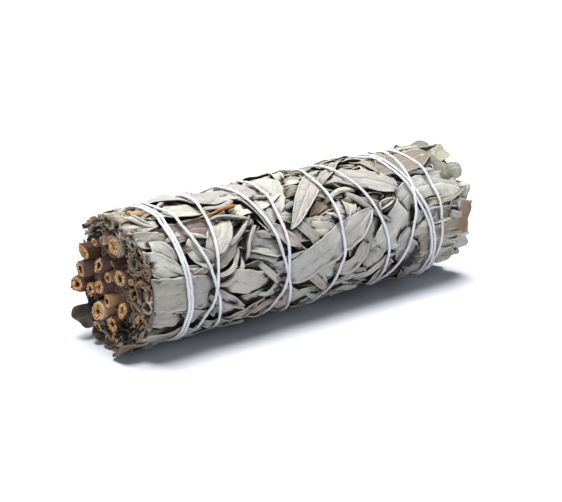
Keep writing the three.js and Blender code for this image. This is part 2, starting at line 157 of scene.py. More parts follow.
# The leaves that lie on top on the side towards -Y, lowest first: where each starts and ends, as along and
# angle twice, how far its middle is bent towards larger angles, its width, form and tint.
TOP_LEAVES = [
    # cut end
    (-60, 2, -47, 8, 1, 4, "fold", "olive"),
    (-60, 12, -48, 20, -1, 3.5, "roll", "grey"),
    (-59, 20, -47, 27, 1, 3, "fold", "pale"),
    (-60, 27, -48, 34, 0, 4, "roll", "olive"),
    (-60, 38, -47, 44, 1, 5, "cup", "grey"),
    (-56, 10, -48, 26, 2, 3, "fold", "pale"),
    (-54, 8, -46, 24, 2, 3, "fold", "blue"),
    (-60, 118, -47, 126, 0, 6, "arch", "olive"),
    (-60, 108, -44, 116, 1, 5, "cup", "grey"),
    (-60, 126, -42, 138, 0, 6, "fold", "dark"),
    (-60, 136, -38, 142, 0, 7, "flat", "grey"),
    (-54, 64, -40, 73, 1.5, 4, "fold", "grey"),
    (-50, 68, -39, 76, 1.5, 3.5, "fold", "grey"),
    (-49, 88, -37, 79, 0, 5, "flat", "pink"),
    (-50, 50, -38, 54, 0, 4, "roll", "pink"),
    (-49, 56, -39, 61, 0, 3, "fold", "brown"),
    (-50, 103, -35, 108, 0, 6, "flat", "grey"),
    (-46, 112, -34, 128, 1, 5, "cup", "grey"),
    (-51, 68, -56, 45, 0, 7.5, "flat", "pale"),
    (-61, 58, -45, 83, -0.5, 6.5, "flat", "blue"),
    (-61, 86, -36, 100, -0.5, 9.0, "flat", "grey", 0.03, 0.99),
    # between the second and the third turn
    (-44, 26, -34, 14, 0, 3, "fold", "pale"),
    (-38, 30, -29, 18, 1, 3.5, "fold", "grey"),
    (-33, 33, -25, 20, 0, 3.5, "roll", "pale"),
    (-34, 44, -24, 36, 1, 3, "fold", "grey"),
    (-28, 52, -20, 34, 1.5, 3, "fold", "pale"),
    (-30, 58, -21, 44, 1, 3.2, "fold", "grey"),
    (-43, 58, -34, 44, 0, 5.5, "flat", "pale"),
    (-43, 56, -37, 74, 1, 5, "flat", "pale"),
    (-31, 98, -17, 92, 0, 7, "flat", "olive"),
    (-33, 86, -20, 84, 1, 5, "cup", "dark"),
    (-36.5, 78, -28, 60, -1, 5.5, "flat", "grey"),
    (-37, 84, -28, 64, 2.2, 2.6, "fold", "grey"),
    (-37, 92, -27.5, 66, 3.2, 3, "fold", "grey"),
    (-27, 71, -11, 93, -0.5, 5, "fold", "blue"),
    (-26.5, 62, -10, 80, -0.5, 6.5, "cup", "blue"),
    (-37, 64, -27, 28, 0, 7, "flat", "pale"),
    (-36, 116, -26, 132, 0, 6, "cup", "grey"),
    (-33, 94, -10, 114, -1, 7, "flat", "grey"),
    (-17, 126, -29, 113, -1.5, 6.5, "cup", "grey"),
    (-28, 122, -16, 140, 0, 5, "fold", "grey"),
    (-22, 132, -8, 138, 0, 6, "arch", "pink"),
    # the broad ones on top
    (-33, -8, -45, 30, -1, 7.5, "flat", "pale"),
    (-47, 6, -31, 10, 1, 7, "flat", "pale"),
    # between the fourth turn and the seventh
    (-10, 22, 0, 28, 0, 4, "cup", "pink"),
    (-7, 34, 2, 38, 0, 2.4, "roll", "brown"),
    (-12, 44, -2, 50, 0, 3.2, "fold", "dark"),
    (-8, 38, 0, 46, 0, 4, "flat", "pink"),
    (-1, 18, 8, 36, 0, 4.5, "cup", "pale"),
    (-6, 4, 7, 14, 0, 6, "flat", "pale"),
    (-5, 34, -9.5, 60, 0, 4.8, "flat", "blue"),
    (8, 42, -2, 58, 0, 5.5, "flat", "brown"),
    (-1, 60, 9, 53, 0, 2.6, "roll", "pink"),
    (-21, 58, -11, 64, 0, 4, "fold", "grey"),
    (-14, 62, 8, 62, 0.8, 7, "flat", "pale"),
    (-3, -16, -18.5, 58, -1, 11.5, "flat", "pale"),
    (8, 52, 16, 60, 0, 5, "flat", "blue"),
    (15, 42, 11, 64, 0, 4.5, "flat", "pale"),
    (18, 58, 13, 72, 0, 3.6, "cup", "grey"),
    (20, 72, 13, 84, 1, 3, "fold", "grey"),
    (22, 76, 15, 90, 1.5, 3, "fold", "grey"),
    (-8, 108, 8, 128, 0, 7, "flat", "olive"),
    (-14, 118, 2, 126, 1, 5, "cup", "dark"),
    (-3, 94, 10, 118, -0.5, 8.5, "flat", "grey"),
    (3, 88, 10, 104, 0, 4, "fold", "dark"),
    (-12, 106, -2, 84, 0, 5.5, "flat", "olive"),
    (10, 86, 14, 118, 0, 2.6, "fold", "dark"),
    (11, 80, 21, 142, -1, 7.5, "flat", "grey"),
    (-10, 128, 10, 142, 0, 7, "flat", "grey"),
    (18, 2, 27, 14, 0, 3, "roll", "brown"),
    (20, -6, 28, 10, 0, 3, "fold", "olive"),
    (17, -14, 10, 46, 0, 8.5, "flat", "pale"),
    # from the seventh turn to the tips
    (20, 46, 28, 56, 0, 4, "roll", "grey"),
    (26, 60, 35, 48, 0, 6, "arch", "brown"),
    (22, 62, 30, 56, 0, 3, "roll", "pale"),
    (15, 90, 24, 58, 0.5, 7, "flat", "grey"),
    (19, 98, 30, 86, 0, 3, "fold", "grey"),
    (19, 104, 30, 96, 0.6, 3, "fold", "pink"),
    (22, 94, 37, 58, 0.5, 9, "flat", "blue"),
    (18, 104, 28, 144, -0.5, 7.5, "flat", "grey"),
    (26, 118, 32, 138, 0, 5, "cup", "pink"),
    (29, 104, 38, 98, -2.5, 6, "arch", "grey"),
    (35, 34, 27, 40, 0, 6, "arch", "grey"),
    (38, -22, 24.5, 33, 0, 7, "flat", "grey"),
    (14, 18, 35, 52, -0.8, 6.5, "flat", "grey"),
    (41, 22, 40, 49, 0, 6, "arch", "olive"),
    (46, 24, 44, 50, 0, 5.5, "flat", "grey"),
    (48, 34, 47, 46, 0, 3, "roll", "pale"),
    (36, 92, 48, 76, 0.5, 4.5, "fold", "pink"),
    (44, 80, 56, 66, 0, 6.5, "flat", "grey"),
    (37, 84, 46, 74, 0, 4, "cup", "blue"),
    (40, 94, 48, 130, 0, 6.5, "arch", "pink"),
    (33, 106, 49, 152, 0, 8.5, "flat", "grey"),
    (46, 98, 60, 110, 0, 5, "fold", "dark"),
    (48, 106, 58, 120, 0, 4.5, "fold", "grey"),
    (50, 118, 56, 136, 0, 5, "cup", "grey"),
    (47, -14, 60, 0, 0, 7, "cup", "olive"),
]

# The leaves on top of all the others, given in the same way.
LAST_LEAVES = [
    (-50, 10, -33, 22, 0.8, 6.5, "flat", "pale"),
    (-14, 3, -47, -14, 1.5, 10.5, "flat", "blue"),
    (8, 12, -10.5, 61, 0.6, 5.5, "flat", "grey"),
    (-12, 101, 21, 60, 0.5, 8.5, "flat", "blue"),
    (35, 62, 57, 60, -3.2, 7.5, "flat", "blue"),
    (53, 44, 59.3, -8, -0.5, 7.5, "arch", "moss"),
]

# Leaves of another colour, each standing for a node of the frame: along, angle, turn, length, width, the
# distance of its outer face from the axis, how far its outline goes on before it is torn off, and tint.
BROWN_LEAVES = [
    (42, 19, 0, 22, 9.5, 19.6, 0.97, "rose"),
    (50.9, 86, 4, 15.6, 10.5, 18.6, 0.7, "brown"),
    (-39, 39, 0, 22, 6.5, 18.2, 0.97, "rose"),
]
RUSTY_LEAF = 1  # this one turns from olive to rust towards its end

# The layers that follow a rule: how many leaves, their lengths, widths and usual slant, the shares of their
# forms and tints, between which places they start, how many places are tried for each, and their step.
MIXED = {"flat": 4, "cup": 3, "arch": 2, "roll": 1.5, "fold": 3}
USUAL = {"grey": 4, "pale": 3, "blue": 2.5, "pink": 1, "olive": 1, "dark": 0.5}
DEEP = {"dark": 3, "olive": 2, "grey": 1}
LAYERS = {
    "under": (130, (22, 40), (7, 12), 25, MIXED, DEEP, (-62, 57), 10, 3.0),
    "middle": (190, (16, 36), (5, 10), 32, MIXED, USUAL),
    "small": (150, (8, 18), (2.4, 4.5), 45, {"fold": 4, "cup": 2, "flat": 1}, USUAL),
    "strips": (60, (12, 24), (2.4, 4.4), 35, {"fold": 5, "cup": 2, "flat": 1}, USUAL, (-62, 57), 4),
    "between": (210, (7, 18), (2.2, 4.8), 42, {"fold": 5, "cup": 2, "flat": 2}, USUAL, (-60, 52), 14),
}
BACK_COUNT = 105
BACK_FORMS = {"flat": 6, "cup": 2, "arch": 1.5, "fold": 1.5}

# ---- Shared sums ----


def seeded(number):
    """A generator of random numbers, the same at every run."""
    return np.random.default_rng(number)


def on_bundle(along, angle, radius):
    """Points in millimetres from their place along and round the bundle and their distance from its axis."""
    angle, radius = np.broadcast_arrays(angle, radius)
    along = np.broadcast_to(along, angle.shape)
    return np.stack([along, -radius * np.sin(angle), AXIS_HEIGHT + radius * np.cos(angle)], -1)


def smooth_step(low, high, value):
    """0 at low, 1 at high and a smooth rise between them."""
    share = np.clip((value - low) / (high - low), 0, 1)
    return share * share * (3 - 2 * share)


def unit(vectors):
    """The vectors at length 1."""
    return vectors / np.maximum(np.linalg.norm(vectors, axis=-1, keepdims=True), 1e-9)


def stacked(*values):
    """Points or vectors from their three values, which may be grids, rows, columns or numbers."""
    return np.stack(np.broadcast_arrays(*values), -1)


def blend(first, second, share):
    """The first colour with the second one over it by this share."""
    return np.array(first) * (1 - share) + np.array(second) * share


def outwards(angle):
    """The direction away from the axis."""
    return on_bundle(0, angle, 1.0) - on_bundle(0, angle, 0.0)


def walked(line):
    """How far each point of a line lies from its start, along the line."""
    return np.concatenate([[0], np.cumsum(np.linalg.norm(np.diff(line, axis=0), axis=1))])


def smoothed(values, reach):
    """values averaged over reach places each way."""
    kernel = np.hanning(2 * reach + 1)
    return np.convolve(np.pad(values, reach, mode="edge"), kernel / kernel.sum(), "valid")


def rings_round(line, side, out, radius, around, flat=(1, 1)):
    """Rings of points round a line, in the planes of two directions and squeezed by a share in each."""
    across, up = radius * np.cos(around) * flat[0], radius * np.sin(around) * flat[1]
    return line[:, None, :] + side[:, None, :] * across[..., None] + out[:, None, :] * up[..., None]


# ---- String ----


@functools.cache
def string_line():
    """The string's middle line: winding angle, place along the bundle, and distance from its axis."""
    winding = np.linspace(WINDING_START, WINDING_END, 6000)
    stops = [FULL_TURN * turn + stop for turn in range(len(TURNS)) for stop in STOPS]
    along = smoothed(np.interp(winding, stops, [place for row in TURNS for place in row]), 110)
    arc = (winding % FULL_TURN) * STRING_RADIUS
    turn = np.floor(winding / FULL_TURN).astype(int)
    lift = np.zeros_like(winding)
    for this in range(1, len(TURNS)):
        own = np.flatnonzero(turn == this)
        below = np.flatnonzero(turn < this)
        if not len(own) or not len(below):
            continue
        aside = along[own][:, None] - along[below][None, ::8]
        around = np.abs(arc[own][:, None] - arc[below][None, ::8])
        near = np.where(around < 0.6, np.abs(aside), 9.0).min(1)
        lift[own] = 0.8 * np.exp(-((near / 1.0) ** 2))
    per_turn = FULL_TURN * (len(winding) - 1) / (WINDING_END - WINDING_START)
    kernel = np.hanning(2 * int(per_turn * 0.02) + 1)
    lift = np.convolve(lift, kernel / kernel.sum(), "same")
    lowest = (AXIS_HEIGHT - TABLE_CLEARANCE - STRING / 2) / np.maximum(-np.cos(winding), 0.5)
    return winding, along, np.minimum(STRING_RADIUS + lift, lowest)


# ---- The pile: how high the leaves lie at each place ----

ARC_RADIUS = 18.5  # the pile is unrolled at this distance from the axis
ROUND = FULL_TURN * ARC_RADIUS
CELL = 0.25
FIRST = -64.0
ROWS = int(128 / CELL)
COLUMNS = int(round(ROUND / CELL))
ROW_PLACES = FIRST + CELL * np.arange(ROWS)
PACKED = 13.0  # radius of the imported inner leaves
GROOVE = 1.05  # how deep the string presses the leaves
PRESS_REACH = 1.7  # how far from the string that is felt
BULGE = 0.35  # how far the leaves stand out between the turns of the string
KEPT = 1.7  # depth over which the leaves keep their own shape


def blurred(grid, reach):
    """grid averaged over reach cells each way, twice, round the bundle and along it."""
    for _ in range(2):
        wide = 2 * reach + 1
        turned = np.concatenate([grid[:, -reach:], grid, grid[:, :reach]], 1)
        sums = np.cumsum(np.pad(turned, ((0, 0), (1, 0))), 1)
        grid = (sums[:, wide:] - sums[:, :-wide]) / wide
        long = np.pad(grid, ((reach, reach), (0, 0)), mode="edge")
        sums = np.cumsum(np.pad(long, ((1, 0), (0, 0))), 0)
        grid = (sums[wide:] - sums[:-wide]) / wide
    return grid


def highest(grid, reach):
    """The highest of the cells within reach, each way."""
    for axis in (0, 1):
        shifts = range(-reach, reach + 1)
        grid = functools.reduce(np.maximum, [np.roll(grid, shift, axis) for shift in shifts])
    return grid


def cells(along, arc):
    """The row and column of the pile at a place."""
    row = (along - FIRST) / CELL
    column = (arc % ROUND) / CELL
    return np.clip(row, 0, ROWS - 1.001), column


def read(grid, along, arc):
    """The value of a grid of the pile at a place, between its cells."""
    row, column = cells(along, arc)
    r0, c0 = row.astype(int), column.astype(int)
    fr, fc = row - r0, column - c0
    c0 %= COLUMNS
    c1 = (c0 + 1) % COLUMNS
    near = grid[r0, c0] * (1 - fc) + grid[r0, c1] * fc
    far = grid[r0 + 1, c0] * (1 - fc) + grid[r0 + 1, c1] * fc
    return near * (1 - fr) + far * fr


def read_highest(grid, along, arc, reach=0.35):
    """The highest of the places close by, so that nothing narrow is missed between two points."""
    near = [read(grid, along + a, arc + b) for a in (-reach, 0, reach) for b in (-reach, 0, reach)]
    return functools.reduce(np.maximum, near)


def finer(grid, times):
    """A grid of values with times as many steps between the ones that it has."""
    for axis in (0, 1):
        count = grid.shape[axis]
        at = np.linspace(0, count - 1, (count - 1) * times + 1)
        low = np.minimum(at.astype(int), count - 2)
        share = (at - low).reshape([-1 if a == axis else 1 for a in (0, 1)])
        grid = np.take(grid, low, axis) * (1 - share) + np.take(grid, low + 1, axis) * share
    return grid


def raise_to(grid, along, arc, top):
    """Raises a grid of the pile to the top of a leaf that lies there."""
    along, arc, top = (finer(values, 5) for values in (along, arc, top))
    row, column = cells(along, arc)
    inside = (along > FIRST) & (along < FIRST + ROWS * CELL - 1)
    np.maximum.at(grid, (row.astype(int)[inside], column.astype(int)[inside] % COLUMNS), top[inside])


def averaged(values):
    """A grid of values, each averaged with the ones next to it."""
    padded = np.pad(values, 1, mode="edge")
    values = (padded[:-2] + 2 * padded[1:-1] + padded[2:]) / 4
    return (values[:, :-2] + 2 * values[:, 1:-1] + values[:, 2:]) / 4


def draped(under, passes):
    """The surface of a stiff sheet that rests on these heights."""
    lying = under
    for _ in range(passes):
        lying = np.maximum(averaged(lying), under)
    return averaged(lying)


# ---- One leaf ----

ACROSS_FINE = np.array([-1, -0.94, -0.82, -0.58, -0.32, -0.1, 0, 0.1, 0.32, 0.58, 0.82, 0.94, 1])
ACROSS_PLAIN = np.array([-1, -0.88, -0.6, -0.25, 0, 0.25, 0.6, 0.88, 1])


def leaf_outline(share, shoulder=0.45, tip=0.68, bluntness=0.6):
    """Half the width along a leaf, as a share of the widest: it grows to the shoulder and closes from tip."""
    rising = 0.3 + 0.7 * smooth_step(-0.15, shoulder, share)
    closing = np.clip(1 - (np.clip(share - tip, 0, 1) / (1 - tip)) ** 1.7, 0, 1) ** bluntness
    return rising * closing


def mantle_cut(angle):
    """How much shorter the outer leaves are beside the stems that stand at the rim."""
    return 3.2 * math.exp(-((math.cos(angle - math.radians(-88)) - 1) ** 2) / 0.12)


def curled(half, curl, across):
    """How far aside and how high the places across a leaf lie, when it is curled by this angle."""
    curl = np.where(np.abs(curl) < 0.02, 0.02, curl)
    return half * np.sin(curl * across) / curl, half * (1 - np.cos(curl * across)) / curl


def creased(rise, rng, count, share, aside, length, reach, depth, widths):
    """rise with sharp straight creases in random directions, between two shares of the length."""
    for _ in range(count):
        slant = rng.uniform(-1.4, 1.4)
        off = (share - rng.uniform(*reach)) * length * math.cos(slant) + aside * math.sin(slant)
        rise = rise + rng.uniform(-depth, depth) * np.exp(-np.sqrt(off * off + 0.02) / rng.uniform(*widths))
    return rise


def leaf_sheet(rng, along, arc, radius, across, share, half, length, tint, arc_radius=ARC_RADIUS):
    """What is known of a laid leaf: the places of its middle surface and the numbers that colour it."""
    grids = dict(along=along, arc=arc, radius=radius, across=across, share=share, half=half)
    shape = np.broadcast_shapes(*(np.shape(values) for values in grids.values()))
    sheet = {name: np.broadcast_to(values, shape) for name, values in grids.items()}
    return sheet | {
        "length": length,
        "tint": leaf_tint(rng, tint),
        "number": rng.uniform(0, 50),
        "arc_radius": arc_radius,
        "last": False,
    }


def lay_leaf(heights, rng, leaf, fine=True, step=None):
    """Lays one leaf on the pile and returns its sheet, or nothing where too little of it is left."""
    x0, a0, x1, a1, bend, width, form, tint = leaf[:8]
    start_share, end_share = leaf[8:10] if len(leaf) > 8 else (0.03, 1.0)
    rules = FORMS[form]
    across = ACROSS_FINE if fine else ACROSS_PLAIN

    # the midrib, in the unrolled pile
    p0 = np.array([x0, math.radians(a0) * ARC_RADIUS])
    p1 = np.array([x1, math.radians(a1) * ARC_RADIUS])
    p0 = p0 - (p1 - p0) * TUCKED
    way = p1 - p0
    length = np.hypot(*way)
    side = np.array([-way[1], way[0]]) / length
    if side[1] < 0:
        side = -side
    count = max(8, int(length / (step or (1.0 if fine else 1.4))))
    share = np.linspace(0, 1, count)
    swing = np.sin(FULL_TURN * (share * rng.uniform(0.6, 1.6) + rng.random()))
    sway = bend * 4 * share * (1 - share) + width * 0.04 * swing
    middle = p0 + share[:, None] * way + sway[:, None] * side
    cut = CUT_PLANE - rng.uniform(-0.6, 0.9) + mantle_cut(p0[1] / ARC_RADIUS)
    keep = (middle[:, 0] > cut) & (middle[:, 0] < TIP_END - 0.2)
    if keep.sum() < 5:
        return None
    share, middle = share[keep], middle[keep]
    tangent = unit(np.gradient(middle, axis=0))
    normal = np.stack([-tangent[:, 1], tangent[:, 0]], 1)

    # half the width, with uneven edges
    whole = start_share + (end_share - start_share) * share
    outline = leaf_outline(whole, rng.uniform(0.12, 0.4), rng.uniform(0.45, 0.8), rng.uniform(0.65, 1.05))
    half = np.maximum(width / 2 * outline, THINNEST)
    phase = rng.uniform(0, 6.28, 6)
    w = across[None, :]
    one, other = (
        1 + 0.045 * np.sin(share * length * rng.uniform(0.15, 0.4) + phase[i])
        + 0.025 * np.sin(share * length * 1.3 + phase[i])
        + rng.uniform(-0.02, 0.02, count)[keep]
        for i in (3, 4)
    )
    half = half[:, None] * np.where(w > 0, one[:, None], other[:, None])

    # its own shape: folded or curled, with a midrib, waves, crumples and creases
    share = share[:, None]
    if rules.get("fold"):
        turned = 1 if rng.random() < 0.5 else -1
        away = np.sqrt(w * w + 0.012) - 0.11
        aside = turned * half * (0.5 - away * np.where(w > 0, 0.9, 1.0))
        gap = 0.30 + 0.25 * rng.random() + 0.5 * rng.random() * away
        rise = gap * smooth_step(-0.12, 0.12, w) * np.minimum(1, half / 0.8)
    else:
        curl = rules["curl"] * (0.75 + 0.55 * (2 * share - 1) ** 2) + rng.uniform(-0.18, 0.18)
        aside, rise = curled(half, curl, w)
        rim = rules["rim"] * rng.uniform(0.5, 1.4)
        rise = rise + rim * smooth_step(0.72, 1, np.abs(w)) * np.minimum(1, half / 1.5)
    midrib = -0.22 * np.exp(-((w / 0.12) ** 2)) * np.minimum(1, half / 2)
    wave = half * 0.06 * np.abs(w) ** 2 * np.sin(share * length * 0.55 + phase[0] + 1.7 * np.sign(w))
    crumple = 0.12 * np.sin(share * length * 1.3 + phase[1] + 2.5 * w) * np.sin(w * half * 1.5 + phase[2])
    tilt = rng.uniform(-0.12, 0.12) * aside
    bent = half * rng.uniform(-0.12, 0.12) * w * (w * w - 0.6)
    bent = creased(bent, rng, 6, share, aside, length, (0.1, 0.95), 0.4, (0.5, 1.3))
    rise = rise + midrib + wave + crumple + tilt + bent
    at = middle[:, None, :] + normal[:, None, :] * aside[..., None]
    if end_share < 0.97:
        torn = rng.uniform(-0.4, 0.4, len(across))[None, :] * share**14
        at = at + tangent[:, None, :] * torn[..., None]
    along, arc = at[..., 0], at[..., 1]
    squared = smooth_step(4, 0, middle[:, :1] - cut)
    along = along + (middle[:, :1] - along) * squared + rng.uniform(-0.14, 0.14, along.shape) * squared**3

    # draped over what lies there, its start tucked in
    under = read_highest(heights, along, arc)
    gaps = under - rise
    stiff = draped(gaps.max(1, keepdims=True) * 0.6 + gaps.mean(1, keepdims=True) * 0.4, 12)
    lying = draped(under - np.minimum(rise, 0), 10 if fine else 6)
    base = (1 - rules["flex"]) * stiff + rules["flex"] * lying
    tucked = rng.uniform(1.2, 2.4) * np.clip(1 - share / rng.uniform(0.16, 0.3), 0, 1) ** 1.5
    radius = np.maximum(base + rise + 0.6 * LEAF_THICKNESS, under + 0.5 * LEAF_THICKNESS) - tucked
    raise_to(heights, along, arc, radius + 0.4 * LEAF_THICKNESS)
    return leaf_sheet(rng, along, arc, radius, w, share, half, length, tint)


def leaf_tint(rng, name):
    """The tint of one leaf, a little off the one that is named."""
    colour = np.array(TINTS[name]) * rng.uniform(0.86, 1.12)
    return np.clip(colour * (1 + rng.uniform(-0.025, 0.025, 3)), 0, 1)


# ---- The leaves that follow a rule ----


def footprint_height(heights, leaf):
    """How high the pile is on average along a leaf's midrib."""
    share = np.linspace(0.1, 0.9, 7)
    along = leaf[0] + (leaf[2] - leaf[0]) * share
    arc = np.radians(leaf[1] + (leaf[3] - leaf[1]) * share) * ARC_RADIUS
    return read(heights, along, arc).mean()


def chosen(rng, options):
    """One of the options, each as likely as its number says."""
    names = list(options)
    chance = np.array([options[name] for name in names], float)
    return names[rng.choice(len(names), p=chance / chance.sum())]


def run_of(rng, x, length, pointing):
    """Where a leaf of this length and slant starts, short of the tips, and how far it runs both ways."""
    dx = length * math.cos(pointing)
    da = math.degrees(length * math.sin(pointing) / ARC_RADIUS)
    if x + dx > TIP_END - 0.5:
        x = TIP_END - 0.5 - dx - rng.uniform(0, 4)
    return x, dx, da


def scattered(heights, rng, count, lengths, widths, turn, forms, tints, reach=(-62, 57), tries=10, step=None):
    """A layer of leaves, each laid where the pile is lowest of the places that are tried for it."""
    sheets = []
    for _ in range(count):
        options = []
        for _ in range(tries):
            length = rng.uniform(*lengths)
            angle = rng.uniform(0, 360)
            pointing = math.radians(rng.normal(0, turn))
            x, dx, da = run_of(rng, rng.uniform(*reach), length, pointing)
            leaf = (x, angle, x + dx, angle + da, rng.uniform(-1.5, 1.5), rng.uniform(*widths))
            options.append((footprint_height(heights, leaf), leaf))
        look = (chosen(rng, forms), chosen(rng, tints), rng.uniform(0.02, 0.3), rng.uniform(0.9, 1))
        sheets.append(lay_leaf(heights, rng, min(options)[1] + look, False, step))
    return [sheet for sheet in sheets if sheet]


def back_leaves(heights, rng):
    """Broad leaves spread evenly over the back and the underside."""
    sheets = []
    for number in range(BACK_COUNT):
        angle = 146 + 208 * ((number * GOLDEN) % 1)
        x = -60 + 104 * ((number * GOLDEN * GOLDEN) % 1)
        length = rng.uniform(20, 38)
        x, dx, da = run_of(rng, x, length, math.radians(rng.normal(0, 38)))
        leaf = (x, angle - da / 2, x + dx, angle + da / 2, rng.uniform(-2, 2), rng.uniform(5, 11))
        sheets.append(lay_leaf(heights, rng, leaf + (chosen(rng, BACK_FORMS), chosen(rng, USUAL))))
    return [sheet for sheet in sheets if sheet]


@functools.cache
def pile():
    """Lays every pressed leaf, lowest first. Gives the layers of sheets, the finished heights, and the heights
    of the last leaves."""
    heights = np.full((ROWS, COLUMNS), PACKED)
    heights -= (4.0 * smooth_step(48, 58, ROW_PLACES))[:, None]
    rng = seeded(7)
    layers = {name: scattered(heights, rng, *LAYERS[name]) for name in ("under", "middle", "small")}
    layers["back"] = back_leaves(heights, rng)
    layers["over"] = [sheet for sheet in [lay_leaf(heights, rng, leaf) for leaf in TOP_LEAVES] if sheet]
    layers |= {name: scattered(heights, rng, *LAYERS[name]) for name in ("strips", "between")}
    even = blurred(heights, 7) + 0.25
    last = np.zeros_like(even)
    layers["last"] = []
    for leaf in LAST_LEAVES:
        sheet = lay_leaf(np.maximum(even, last), rng, leaf)
        layers["last"].append(sheet | {"last": True})
        raise_to(last, sheet["along"], sheet["arc"], sheet["radius"])
    return layers, np.where(last > 0, last + 0.2, heights), last


def under_last(along, arc, high):
    """Keeps a leaf that passes under one of the last leaves below it."""
    row, column = cells(along, arc)
    over = pile()[2][np.rint(row).astype(int), np.rint(column).astype(int) % COLUMNS]
    return np.where(over > 0, np.minimum(high, over - 0.45), high)


@functools.cache
def crevices():
    """How high the leaves reach close by each place."""
    return blurred(highest(pile()[1], 1), 1)


@functools.cache
def squeeze():
    """The general height of the pile at each place, and the height that the string presses it to."""
    envelope = blurred(highest(pile()[1], 9), 10)
    angle = np.arange(COLUMNS) * CELL / ARC_RADIUS
    rng = seeded(3)
    limit = np.full((ROWS, COLUMNS), RADIUS + BULGE)
    for _ in range(6):
        k, m = rng.uniform(0.03, 0.16), rng.integers(1, 6)
        wave = 0.12 * np.sin(k * ROW_PLACES + rng.uniform(0, 6))[:, None]
        limit += wave * np.sin(m * angle + rng.uniform(0, 6))[None, :]
    limit -= GROOVE * string_press()
    limit -= (2.0 * smooth_step(53, 61, ROW_PLACES) ** 1.3)[:, None]
    limit -= (0.7 * smooth_step(-54, -60, ROW_PLACES))[:, None]
    floor = (AXIS_HEIGHT - 0.35) / np.maximum(-np.cos(angle), 0.5)
    return envelope, np.minimum(limit, floor[None, :])


def pressed(along, arc, high):
    """The distance from the axis of a place in the pile, once the string has pressed it."""
    envelope, limit = (read(grid, along, arc) for grid in squeeze())
    depth = envelope - high
    room = np.clip((limit - PACKED - KEPT) / np.maximum(envelope - PACKED - KEPT, 0.5), 0.15, 1.2)
    depth = np.where(depth > 0, np.minimum(depth, KEPT) + np.maximum(depth - KEPT, 0) * room, 0.55 * depth)
    return limit - depth


def string_press():
    """1 under the string, falling to 0 within a few millimetres of it."""
    press = np.zeros((ROWS, COLUMNS))
    winding, along, _ = string_line()
    row = ((along - FIRST) / CELL).astype(int)
    column = ((winding * ARC_RADIUS) / CELL).astype(int) % COLUMNS
    reach = int(4 / CELL)
    for dr, dc in itertools.product(range(-reach, reach + 1), repeat=2):
        value = math.exp(-((math.hypot(dr, dc) * CELL / PRESS_REACH) ** 2))
        if value > 0.01:
            at = (np.clip(row + dr, 0, ROWS - 1), (column + dc) % COLUMNS)
            press[at] = np.maximum(press[at], value)
    return press


# ---- Meshes ----


